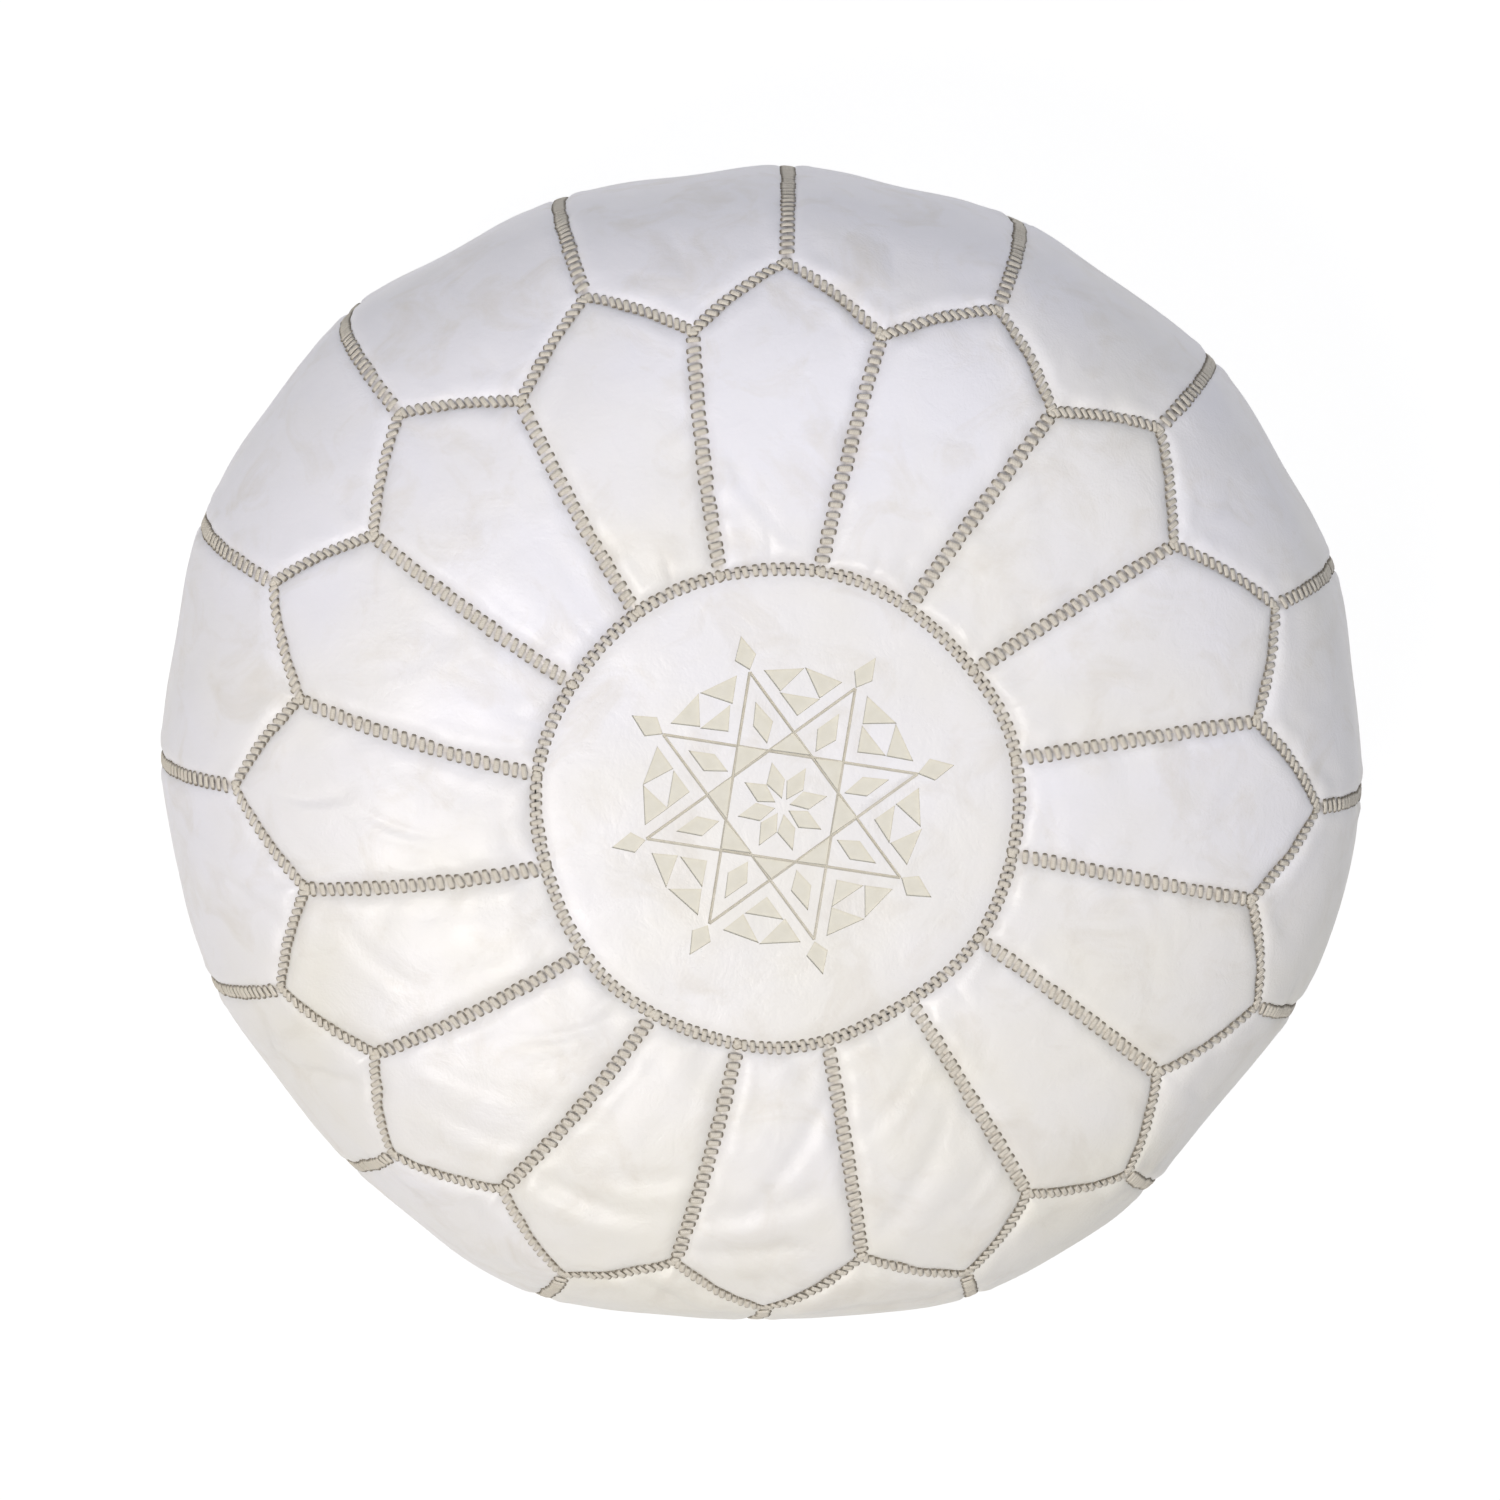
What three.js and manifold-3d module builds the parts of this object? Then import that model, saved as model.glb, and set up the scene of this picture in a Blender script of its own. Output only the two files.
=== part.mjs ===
// A Moroccan leather pouf: a round floor cushion whose cover is hand-sewn from leather panels.
// The top is a medallion ringed by petals, the side is one tall panel between every two petal tips,
// and the base is two half discs with a zip between them. Inside are a cotton liner and the filling.
//
// Millimetres, +Z up, origin on the floor under the middle of the base. The tip of petal_01 is at +Y,
// and the petals are numbered clockwise as seen from above. The zip runs along X and closes at +X.

import * as THREE from 'three';
import { mergeVertices } from 'three/addons/utils/BufferGeometryUtils.js';
import Module from 'manifold-3d';

const wasm = await Module();
wasm.setup();

// ---------------------------------------------------------------------------------------------
// Driving dimensions

// The stuffed body, as a profile of two superelliptic arcs that meet at the belly
const POUF_DIAMETER = 550; // across the belly, over the leather
const POUF_HEIGHT = 340;
const BELLY_HEIGHT = 175; // of the widest ring above the floor
const TOP_FLAT_RADIUS = 40; // the level middle of the medallion
const TOP_FULLNESS = 3.5; // exponent of the upper arc; a higher one is squarer
const BASE_FLAT_RADIUS = 150; // what stands flat on the floor
const BASE_FULLNESS = 2.2; // exponent of the lower arc
const FACET_DEPTH = 4; // how far a side panel's middle lies inside the circle of its seams
const SLACK_DEPTH = 11; // how far the cover hangs in under the petal tips on its slack side, -Y
// The filling has settled unevenly. Each row: degrees from -Y towards +X, how many degrees it spreads, and
// how far the cover hangs in there, or swells out where that is negative.
const UPPER_HOLLOWS = [[0, 13, 7], [-30, 10, -5], [56, 14, 6.5]];
const BELLY_HOLLOWS = [[92, 22, 5], [-128, 24, -8]];
const OVAL_DEPTH = 4; // how much less the belly swells along Y than along X

// The cover's pattern. Seams are placed by the length of leather from the middle of the top or base.
const PETALS = 16;
const MEDALLION_SEAM = 104; // from the top's centre to the seam round the medallion
const PETAL_SIDE = 106; // from that seam to a petal's shoulders
const PETAL_POINT = 30; // from the level of the shoulders to the petal's tip
const BASE_SEAM = 186; // from the base's centre to the seam round the base
const LEATHER = 1.6; // goat leather with its turned edge
const MEDALLION_TURN = THREE.MathUtils.degToRad(-1.6); // how far the sewing turned each ring of the cover
const SHOULDER_TURN = THREE.MathUtils.degToRad(1.2);
const SIDE_TURN = THREE.MathUtils.degToRad(2.2);

// The star cut through the medallion's leather: an eight-pointed star of interlaced straight lines,
// whose lines are left standing, and what is cut out between them. A disc of suede shows through.
const STAR_POINTS = 8;
const STAR_RADIUS = 60; // to the points where its lines meet
const STAR_CENTRE = new THREE.Vector2(2, 1.5); // the cut is a little off the medallion's centre
const STAR_TURN = THREE.MathUtils.degToRad(-13.4);
const STAR_BORDER = 6; // leather kept between a line and the fans outside it
const CUT_SHARE = 0.84; // how much of its cell each cut takes, the rest being the leather between cuts
const TIP_DIAMOND = { start: 62, widest: 67, end: 75, width: 9 }; // from the star's centre
const ARM_DIAMOND = { start: 29, widest: 37, end: 46, width: 8 };
const FLOWER_PETAL = { start: 3.5, widest: 11, end: 18.5, width: 7 };
const SUEDE_RADIUS = 84;
const SUEDE = 0.8;
const SUEDE_GAP = 0.3; // under the leather

// The sewn seams: a band of thread that fills the channel between two panels and stands proud of them.
const SEAM_BAND = 7.2;
const SEAM_PROUD = 1.6;
const SEAM_CLEARANCE = 0.4; // between a band and each panel, and between two bands
const SEAM_STEP = 0.3; // how much thinner, on each face, a band is than the one it runs into

// The cotton liner and the filling in it.
const LINER = 0.8;
const LINER_EASE = 3.0; // between the leather at its most pulled-in and the liner
const FILLING_EASE = 1.5; // between the liner and the filling
const LINER_SLIT_LENGTH = 240; // the liner's filling slit, over the zip
const LINER_SLIT_WIDTH = 30;

// The zip and the groove in the base that it lies in, clear of the floor.
const ZIP_OPENING = 14; // between the two leather edges
const GROOVE_WIDTH = 52;
const GROOVE_DEPTH = 9; // from the floor to the leather edges beside the zip
const ZIP_END_MARGIN = 27; // from the base seam to the end of the teeth
const TAPE_WIDTH = 13; // of each half of the tape
const TAPE = 0.8;
const TAPE_PAST_TEETH = 14; // how far the tape runs on past the teeth at each end
const TEETH_WIDTH = 2.4; // of each half of the chain
const TEETH_HEIGHT = 2.6;
const TEETH_PARTING = 1.2; // between the halves, where the slider's bridge runs
const ZIP_CLEARANCE = 0.3; // between fixed pieces of the zip
const STOP_LENGTH = 4;
const SLIDER_LENGTH = 16;
const SLIDER_WIDTH = 11;
const SLIDER_PLATE = 1.5;
const SLIDER_RUNNING = 1.2; // between a plate and the teeth
const SLIDER_LIP = 0.9; // the plates' turned-in edges
const SLIDER_BRIDGE = 0.6; // the web that joins the plates, in the parting
const BAIL_WIDTH = 3;
const BAIL_SPAN = 5; // inside the bail, along the zip
const BAIL_HEADROOM = 2.2;
const BAIL = 1.2;
const PULL_LENGTH = 28; // from its hinge bar to its end
const PULL_WIDTH = 8;
const PULL = 1.4;
const PULL_BAR = 1.2; // diameter of its hinge bar

// ---------------------------------------------------------------------------------------------
// The stuffed body's profile, from the top's centre over the belly to the base's centre

const BODY_RADIUS = POUF_DIAMETER / 2;
const ARC_STEPS = 120;

// One arc of the profile: turn is 0 at its flat and a quarter turn at the belly.
function arcPoint(flatRadius, rise, fullness, turn) {
  const radius = flatRadius + (BODY_RADIUS - flatRadius) * Math.sin(turn) ** (2 / fullness);
  return new THREE.Vector2(radius, BELLY_HEIGHT + rise * Math.abs(Math.cos(turn)) ** (2 / fullness));
}

function profilePoints() {
  const points = [new THREE.Vector2(0, POUF_HEIGHT)];
  for (let i = 0; i <= ARC_STEPS; i++) {
    const turn = (i / ARC_STEPS) * (Math.PI / 2);
    points.push(arcPoint(TOP_FLAT_RADIUS, POUF_HEIGHT - BELLY_HEIGHT, TOP_FULLNESS, turn));
  }
  for (let i = ARC_STEPS - 1; i >= 0; i--) {
    const turn = (i / ARC_STEPS) * (Math.PI / 2);
    points.push(arcPoint(BASE_FLAT_RADIUS, -BELLY_HEIGHT, BASE_FULLNESS, turn));
  }
  points.push(new THREE.Vector2(0, 0));
  return points;
}

const profile = profilePoints();
const lengths = [0];
for (let i = 1; i < profile.length; i++) lengths.push(lengths[i - 1] + profile[i].distanceTo(profile[i - 1]));
const PROFILE_LENGTH = lengths[lengths.length - 1];

// Where a given length of leather from the top's centre ends: its point and outward normal in (r, z).
function station(length) {
  const at = THREE.MathUtils.clamp(length, 0, PROFILE_LENGTH);
  let i = 1;
  while (i < lengths.length - 1 && lengths[i] < at) i++;
  const share = (at - lengths[i - 1]) / (lengths[i] - lengths[i - 1]);
  const point = profile[i - 1].clone().lerp(profile[i], share);
  const along = profile[i].clone().sub(profile[i - 1]).normalize();
  return { point, normal: new THREE.Vector2(-along.y, along.x) };
}

const radiusAt = (length) => station(length).point.x;

// The length of leather from the top's centre to the belly.
const BELLY = lengths[ARC_STEPS + 1];
const SHOULDER = MEDALLION_SEAM + PETAL_SIDE;
const TIP = SHOULDER + PETAL_POINT;
const BASE_RING = PROFILE_LENGTH - BASE_SEAM;

// ---------------------------------------------------------------------------------------------
// The cover's surface

const PETAL_ANGLE = (2 * Math.PI) / PETALS;
const HALF_ANGLE = PETAL_ANGLE / 2;
const { lerp, clamp, smoothstep, euclideanModulo, radToDeg } = THREE.MathUtils;

const shareBetween = (value, start, end) => clamp((value - start) / (end - start), 0, 1);

// How far the sewing turned the cover at this length from the top's centre.
function turnAt(length) {
  const atShoulder = lerp(MEDALLION_TURN, SHOULDER_TURN, shareBetween(length, MEDALLION_SEAM, SHOULDER));
  return lerp(atShoulder, SIDE_TURN, shareBetween(length, SHOULDER, BELLY));
}

// How far the side panels pull in between their seams.
function facetAt(angle, length) {
  const above = shareBetween(length, SHOULDER, BELLY);
  const below = 1 - shareBetween(length, BELLY, BASE_RING);
  return (FACET_DEPTH * above * below * (1 - Math.cos(PETALS * angle))) / 2;
}

function hollowAt(turned, hollows) {
  return hollows.reduce((depthSoFar, [place, spread, depth]) => {
    const aside = euclideanModulo(360 - radToDeg(turned) - place, 360) - 180;
    return depthSoFar + depth * Math.exp(-((aside / spread) ** 2));
  }, 0);
}

// The filling has settled, so the body is a little oval and hangs slack on one side. How much nearer
// the axis that brings a point at this angle and height.
function slackAt(turned, z) {
  const high = z / POUF_HEIGHT;
  const facing = smoothstep(-Math.cos(turned), 0.05, 0.8);
  const slack = SLACK_DEPTH * facing + hollowAt(turned, UPPER_HOLLOWS);
  const oval = OVAL_DEPTH * Math.cos(turned) ** 2 + hollowAt(turned, BELLY_HOLLOWS);
  return (
    slack * smoothstep(high, 0.32, 0.78) * (1 - smoothstep(high, 0.81, 0.955)) +
    oval * smoothstep(high, 0.18, 0.5) * (1 - smoothstep(high, 0.74, 0.95))
  );
}

// A point at an angle clockwise from petal_01's tip and a length of leather from the top's centre,
// out from the leather's outer face.
function coverPoint(angle, length, out) {
  const { point, normal } = station(length);
  const turned = angle + turnAt(length);
  const z = point.y + normal.y * out;
  const radius = point.x - facetAt(angle, length) + normal.x * out - slackAt(turned, z);
  return new THREE.Vector3(radius * Math.sin(turned), radius * Math.cos(turned), z);
}

// ---------------------------------------------------------------------------------------------
// Solids

// A closed geometry with shared corners, as a solid needs.
function closed(geometry) {
  geometry.deleteAttribute('normal');
  geometry.deleteAttribute('uv');
  const merged = mergeVertices(geometry, 1e-4);
  merged.computeVertexNormals();
  return merged;
}

// A slab bent to shape: place takes its width from -1 to 1, length from 0 to 1 and thickness from 0 to 1.
function bentSlab(columns, rows, place) {
  const slab = new THREE.BoxGeometry(2, 1, 1, columns, rows, 1);
  const corners = slab.getAttribute('position');
  for (let i = 0; i < corners.count; i++) {
    const p = place(corners.getX(i), corners.getY(i) + 0.5, corners.getZ(i) + 0.5);
    corners.setXYZ(i, p.x, p.y, p.z);
  }
  return closed(slab);
}

// A closed outline of (r, z) points turned about Z.
function turned(outline, segments) {
  const lathe = new THREE.LatheGeometry(outline, segments);
  lathe.rotateX(Math.PI / 2);
  return closed(lathe);
}

function box(low, high) {
  const size = new THREE.Vector3().subVectors(high, low);
  const block = new THREE.BoxGeometry(size.x, size.y, size.z);
  block.translate((low.x + high.x) / 2, (low.y + high.y) / 2, (low.z + high.z) / 2);
  return closed(block);
}

const corner = (x, y, z) => new THREE.Vector3(x, y, z);

function toSolid(geometry) {
  return new wasm.Manifold(
    new wasm.Mesh({
      numProp: 3,
      vertProperties: geometry.getAttribute('position').array,
      triVerts: new Uint32Array(geometry.index.array),
    }),
  );
}

function toGeometry(solid) {
  const mesh = solid.getMesh();
  const geometry = new THREE.BufferGeometry();
  geometry.setAttribute('position', new THREE.BufferAttribute(new Float32Array(mesh.vertProperties), 3));
  geometry.setIndex(new THREE.BufferAttribute(new Uint32Array(mesh.triVerts), 1));
  geometry.computeVertexNormals();
  return geometry;
}

const joined = (geometries) => toGeometry(geometries.map(toSolid).reduce((a, b) => a.add(b)));

// ---------------------------------------------------------------------------------------------
// Materials and the group

const FINISHES = {
  white_leather: { color: 0xe9e8e6, roughness: 0.42, metalness: 0 },
  beige_suede: { color: 0xddd7c6, roughness: 0.95, metalness: 0 },
  seam_thread: { color: 0xbfb8a8, roughness: 0.8, metalness: 0 },
  liner_cotton: { color: 0xe6e0d2, roughness: 0.9, metalness: 0 },
  cotton_filling: { color: 0xf1ede4, roughness: 1, metalness: 0 },
  zip_tape: { color: 0xd8d2c4, roughness: 0.85, metalness: 0 },
  zip_metal: { color: 0xb79a5b, roughness: 0.35, metalness: 1 },
};

const pouf = new THREE.Group();

function addPiece(name, finish, geometry) {
  const material = new THREE.MeshStandardMaterial({ name: finish, ...FINISHES[finish] });
  const mesh = new THREE.Mesh(geometry, material);
  mesh.name = name;
  pouf.add(mesh);
  return mesh;
}

const numbered = (name, k) => `${name}_${String(k + 1).padStart(2, '0')}`;

// ---------------------------------------------------------------------------------------------
// Leather panels

const CHANNEL = SEAM_BAND / 2 + SEAM_CLEARANCE; // from a seam's line to the panels' edges
const ZIGZAG_SLOPE = Math.atan2(PETAL_POINT, radiusAt(SHOULDER) * HALF_ANGLE);
const RING_SEGMENTS = 48;

// The zigzag seam's length from the top's centre, at an angle from the nearest petal tip.
const zigzagAt = (fromTip) => TIP - (PETAL_POINT * Math.abs(fromTip)) / HALF_ANGLE;

// A panel of the cover between two seams, from where its first edge runs to where its last one does.
function coverPanel(columns, rows, centre, widthAt, firstEdge, lastEdge) {
  return bentSlab(columns, rows, (across, down, thick) => {
    const length = lerp(firstEdge(across), lastEdge(across), down);
    const angle = centre + across * (HALF_ANGLE - widthAt / radiusAt(length));
    return coverPoint(angle, length, (thick - 1) * LEATHER);
  });
}

const edgeAngle = (length) => HALF_ANGLE - CHANNEL / radiusAt(length);
const ZIGZAG_CHANNEL = CHANNEL / Math.cos(ZIGZAG_SLOPE); // measured down the cover

function petal(k) {
  const first = () => MEDALLION_SEAM + CHANNEL;
  const last = (across) => zigzagAt(across * edgeAngle(SHOULDER)) - ZIGZAG_CHANNEL;
  return coverPanel(4, 6, k * PETAL_ANGLE, CHANNEL, first, last);
}

function sidePanel(k) {
  const first = (across) => zigzagAt(HALF_ANGLE - Math.abs(across) * edgeAngle(TIP)) + ZIGZAG_CHANNEL;
  const last = () => BASE_RING - CHANNEL;
  return coverPanel(4, 10, (k + 0.5) * PETAL_ANGLE, CHANNEL, first, last);
}

// The outline of a ring of the cover between two lengths, from one depth to another.
function coverBand(start, end, steps, innerOut, outerOut) {
  const along = (out) =>
    Array.from({ length: steps + 1 }, (_, i) => {
      const { point, normal } = station(lerp(start, end, i / steps));
      return new THREE.Vector2(Math.max(0, point.x + normal.x * out), point.y + normal.y * out);
    });
  return [...along(innerOut), ...along(outerOut).reverse()];
}

// A place on the medallion, from the star's centre and clockwise from its first point.
function starPoint(radius, angle) {
  const turned = angle + STAR_TURN;
  return new THREE.Vector2(radius * Math.sin(turned), radius * Math.cos(turned)).add(STAR_CENTRE);
}

// A cell's outline drawn in towards its middle.
function drawnIn(outline) {
  const middle = outline.reduce((sum, p) => sum.add(p), new THREE.Vector2()).divideScalar(outline.length);
  return outline.map((p) => middle.clone().lerp(p, CUT_SHARE));
}

function diamond({ start, widest, end, width }, angle) {
  const spread = Math.atan2(width / 2, widest);
  const points = [[start, 0], [widest, spread], [end, 0], [widest, -spread]];
  return points.map(([radius, off]) => starPoint(radius, angle + off));
}

// The cuts that belong to one point of the star.
function starCuts(k) {
  const point = (k * 2 * Math.PI) / STAR_POINTS;
  const between = point + Math.PI / STAR_POINTS;
  const lineDistance = STAR_RADIUS * Math.cos((3 * Math.PI) / STAR_POINTS); // of each line from the centre
  const octagon = lineDistance / Math.cos(Math.PI / STAR_POINTS);
  const crossing = lineDistance / Math.cos((2 * Math.PI) / STAR_POINTS);
  const fanDistance = lineDistance + STAR_BORDER;
  const fanSpread = Math.acos(fanDistance / STAR_RADIUS) - (2 * Math.PI) / STAR_POINTS;
  const apex = starPoint(fanDistance / Math.cos((2 * Math.PI) / STAR_POINTS), between);
  const outer = starPoint(STAR_RADIUS, between);
  const cuts = [diamond(TIP_DIAMOND, point), diamond(ARM_DIAMOND, point), diamond(FLOWER_PETAL, point)];
  const toOctagon = [-1, 1].map((side) => starPoint(octagon, between + (side * Math.PI) / STAR_POINTS));
  cuts.push(drawnIn([...toOctagon, starPoint(crossing, between)]));
  const corners = [-1, 1].map((side) => starPoint(STAR_RADIUS, between + side * fanSpread));
  const midEdges = corners.map((p) => p.clone().lerp(apex, 0.5));
  cuts.push(drawnIn([apex, ...midEdges]));
  for (const side of [0, 1]) cuts.push(drawnIn([outer, corners[side], midEdges[side]]));
  return cuts;
}

function punch(outline) {
  const options = { depth: 4 * LEATHER, bevelEnabled: false };
  const cutter = new THREE.ExtrudeGeometry(new THREE.Shape(outline), options);
  cutter.translate(0, 0, POUF_HEIGHT - 3 * LEATHER);
  return toSolid(closed(cutter));
}

function medallion() {
  const disc = toSolid(turned(coverBand(0, MEDALLION_SEAM - CHANNEL, 3, -LEATHER, 0), RING_SEGMENTS));
  const cuts = Array.from({ length: STAR_POINTS }, (_, k) => starCuts(k)).flat();
  return toGeometry(cuts.reduce((left, outline) => left.subtract(punch(outline)), disc));
}

function medallionSuede() {
  const top = -LEATHER - SUEDE_GAP;
  return turned(coverBand(0, SUEDE_RADIUS, 1, top - SUEDE, top), RING_SEGMENTS);
}

addPiece('top_medallion', 'white_leather', medallion());
addPiece('medallion_suede', 'beige_suede', medallionSuede());
for (let k = 0; k < PETALS; k++) addPiece(numbered('petal', k), 'white_leather', petal(k));
for (let k = 0; k < PETALS; k++) addPiece(numbered('side_panel', k), 'white_leather', sidePanel(k));

// ---------------------------------------------------------------------------------------------
// The base: two half discs whose straight edges lift into a groove beside the zip

const BASE_EDGE = radiusAt(BASE_RING) - CHANNEL - SEAM_CLEARANCE;
const BASE_CORNER = 8; // the half discs' corners are cut off this far from their straight edge

// How far the underside has risen off the floor at a place, with the groove's straight edges level.
function baseHeight(x, y) {
  const out = Math.max(0, Math.hypot(x, y) - BASE_FLAT_RADIUS) / (BODY_RADIUS - BASE_FLAT_RADIUS);
  const rise = BELLY_HEIGHT * (1 - (1 - out ** BASE_FULLNESS) ** (1 / BASE_FULLNESS));
  return lerp(GROOVE_DEPTH, rise, smoothstep(y, ZIP_OPENING / 2, GROOVE_WIDTH / 2));
}

function basePanel() {
  const widest = Math.acos((ZIP_OPENING / 2 + BASE_CORNER) / BASE_EDGE);
  return bentSlab(12, 7, (across, away, thick) => {
    const x = BASE_EDGE * Math.sin(across * widest);
    const y = lerp(ZIP_OPENING / 2, BASE_EDGE * Math.cos(across * widest), away ** 1.6);
    return corner(x, y, baseHeight(x, y) + thick * LEATHER);
  });
}

addPiece('base_panel_back', 'white_leather', basePanel());
addPiece('base_panel_front', 'white_leather', basePanel()).rotation.z = Math.PI;

// ---------------------------------------------------------------------------------------------
// Sewn seams, each a band of thread

// A band along a straight line on the cover between two places, given as { angle, length }.
function seamBand(start, end, steps, thinned) {
  return bentSlab(1, steps, (across, along, thick) => {
    const angle = lerp(start.angle, end.angle, along);
    const length = lerp(start.length, end.length, along);
    const radius = radiusAt(length);
    const way = new THREE.Vector2((end.angle - start.angle) * radius, end.length - start.length).normalize();
    const side = (across * SEAM_BAND) / 2;
    const out = lerp(thinned - LEATHER, SEAM_PROUD - thinned, thick);
    return coverPoint(angle + (side * way.y) / radius, length - side * way.x, out);
  });
}

const place = (angle, length) => ({ angle, length });

// A seam that runs all the way round, at one length from the top's centre.
function ringSeam(length) {
  const outline = coverBand(length - SEAM_BAND / 2, length + SEAM_BAND / 2, 1, -LEATHER, SEAM_PROUD);
  return turned([...outline, outline[0].clone()], RING_SEGMENTS);
}

// The ring round the medallion and the seam between every two petals.
function petalStitching() {
  const bands = [ringSeam(MEDALLION_SEAM)];
  const last = SHOULDER - SEAM_BAND / 2 / Math.cos(ZIGZAG_SLOPE) - SEAM_CLEARANCE;
  for (let k = 0; k < PETALS; k++) {
    const angle = (k + 0.5) * PETAL_ANGLE;
    bands.push(seamBand(place(angle, MEDALLION_SEAM), place(angle, last), 4, SEAM_STEP));
  }
  return joined(bands);
}

// The zigzag round the petals' points and the seam down between every two side panels.
function sideStitching() {
  const bands = [];
  const legLength = Math.hypot(PETAL_POINT, radiusAt(SHOULDER) * HALF_ANGLE);
  const mitre = (Math.tan(ZIGZAG_SLOPE) * SEAM_BAND) / 2 / legLength; // a leg's overrun, as a share of it
  for (let k = 0; k < PETALS; k++) {
    const tip = k * PETAL_ANGLE;
    for (const side of [-1, 1]) {
      const from = place(tip - side * HALF_ANGLE * mitre, TIP + PETAL_POINT * mitre);
      const to = place(tip + side * HALF_ANGLE * (1 + mitre), SHOULDER - PETAL_POINT * mitre);
      bands.push(seamBand(from, to, 2, 0));
    }
    const last = BASE_RING - SEAM_BAND / 2 - SEAM_CLEARANCE;
    bands.push(seamBand(place(tip, TIP), place(tip, last), 10, SEAM_STEP));
  }
  return joined(bands);
}

addPiece('petal_stitching', 'seam_thread', petalStitching());
addPiece('side_stitching', 'seam_thread', sideStitching());
addPiece('base_stitching', 'seam_thread', ringSeam(BASE_RING));

// ---------------------------------------------------------------------------------------------
// The zip, closed, with its slider at +X and the pull folded flat along the groove

const teethLow = GROOVE_DEPTH + 1;
const teethHigh = teethLow + TEETH_HEIGHT;
const tapeLow = teethLow + (TEETH_HEIGHT - TAPE) / 2;
const teethInner = TEETH_PARTING / 2;
const teethOuter = teethInner + TEETH_WIDTH;
const teethEnd = radiusAt(BASE_RING) - ZIP_END_MARGIN;
const stopEnd = teethEnd + ZIP_CLEARANCE + STOP_LENGTH;
const tapeInner = teethOuter + ZIP_CLEARANCE;
const tapeEnd = teethEnd + TAPE_PAST_TEETH;
const sliderX = teethEnd - SLIDER_LENGTH / 2 - 1;
const plateLow = teethLow - SLIDER_RUNNING; // the top of the slider's lower plate
const plateHigh = teethHigh + SLIDER_RUNNING; // the bottom of its upper plate
const bailLow = plateLow - SLIDER_PLATE - BAIL_HEADROOM; // the top of the bail's bar
const pullZ = plateLow - SLIDER_PLATE - BAIL_HEADROOM / 2; // the pull's hinge

const tape = () =>
  box(corner(-tapeEnd, tapeInner, tapeLow), corner(tapeEnd, tapeInner + TAPE_WIDTH, tapeLow + TAPE));
const teeth = () => box(corner(-teethEnd, teethInner, teethLow), corner(teethEnd, teethOuter, teethHigh));
const topStop = () =>
  box(corner(teethEnd + ZIP_CLEARANCE, teethInner, teethLow), corner(stopEnd, teethOuter, teethHigh));
const bottomStop = () =>
  box(corner(-stopEnd, -teethOuter, teethLow), corner(-teethEnd - ZIP_CLEARANCE, teethOuter, teethHigh));

// Two plates with turned-in edges, the bridge that joins them, and the bail that holds the pull.
function slider() {
  const half = SLIDER_LENGTH / 2;
  const wide = SLIDER_WIDTH / 2;
  const lowest = plateLow - SLIDER_PLATE;
  const highest = plateHigh + SLIDER_PLATE;
  const pieces = [
    box(corner(-half, -wide, lowest), corner(half, wide, plateLow)),
    box(corner(-half, -wide, plateHigh), corner(half, wide, highest)),
    box(corner(-half, -SLIDER_BRIDGE / 2, lowest), corner(half, SLIDER_BRIDGE / 2, highest)),
  ];
  for (const side of [-1, 1]) {
    const outer = side * wide;
    const inner = side * (wide - SLIDER_LIP);
    const [near, far] = [Math.min(inner, outer), Math.max(inner, outer)];
    pieces.push(box(corner(-half, near, lowest), corner(half, far, teethLow + 0.2)));
    pieces.push(box(corner(-half, near, teethHigh - 0.2), corner(half, far, highest)));
  }
  const bailEnd = BAIL_SPAN / 2 + BAIL;
  pieces.push(box(corner(-bailEnd, -BAIL_WIDTH / 2, bailLow - BAIL), corner(bailEnd, BAIL_WIDTH / 2, bailLow)));
  for (const side of [-1, 1]) {
    const [near, far] = side < 0 ? [-bailEnd, -BAIL_SPAN / 2] : [BAIL_SPAN / 2, bailEnd];
    pieces.push(box(corner(near, -BAIL_WIDTH / 2, bailLow - BAIL), corner(far, BAIL_WIDTH / 2, lowest + 0.2)));
  }
  return joined(pieces);
}

// A flat tab on two arms, with the hinge bar that passes through the bail. It points to -X.
function pull() {
  const wide = PULL_WIDTH / 2;
  const arm = BAIL_WIDTH / 2 + 0.4;
  const window = SLIDER_LENGTH / 2 + 1;
  const bar = new THREE.CylinderGeometry(PULL_BAR / 2, PULL_BAR / 2, 2 * arm + 1, 12);
  const pieces = [closed(bar), box(corner(-PULL_LENGTH, -wide, -PULL / 2), corner(-window, wide, PULL / 2))];
  for (const side of [-1, 1]) {
    const [near, far] = side < 0 ? [-wide, -arm] : [arm, wide];
    pieces.push(box(corner(-window - 1, near, -PULL / 2), corner(PULL_BAR / 2, far, PULL / 2)));
  }
  return joined(pieces);
}

addPiece('zip_tape_back', 'zip_tape', tape());
addPiece('zip_tape_front', 'zip_tape', tape()).rotation.z = Math.PI;
addPiece('zip_teeth_back', 'zip_metal', teeth());
addPiece('zip_teeth_front', 'zip_metal', teeth()).rotation.z = Math.PI;
addPiece('zip_top_stop_back', 'zip_metal', topStop());
addPiece('zip_top_stop_front', 'zip_metal', topStop()).position.y = -TEETH_PARTING - TEETH_WIDTH;
addPiece('zip_bottom_stop', 'zip_metal', bottomStop());
addPiece('zip_slider', 'zip_metal', slider()).position.x = sliderX;
addPiece('zip_pull', 'zip_metal', pull()).position.set(sliderX, 0, pullZ);

// ---------------------------------------------------------------------------------------------
// The liner and the filling, both clear of the zip

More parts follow.
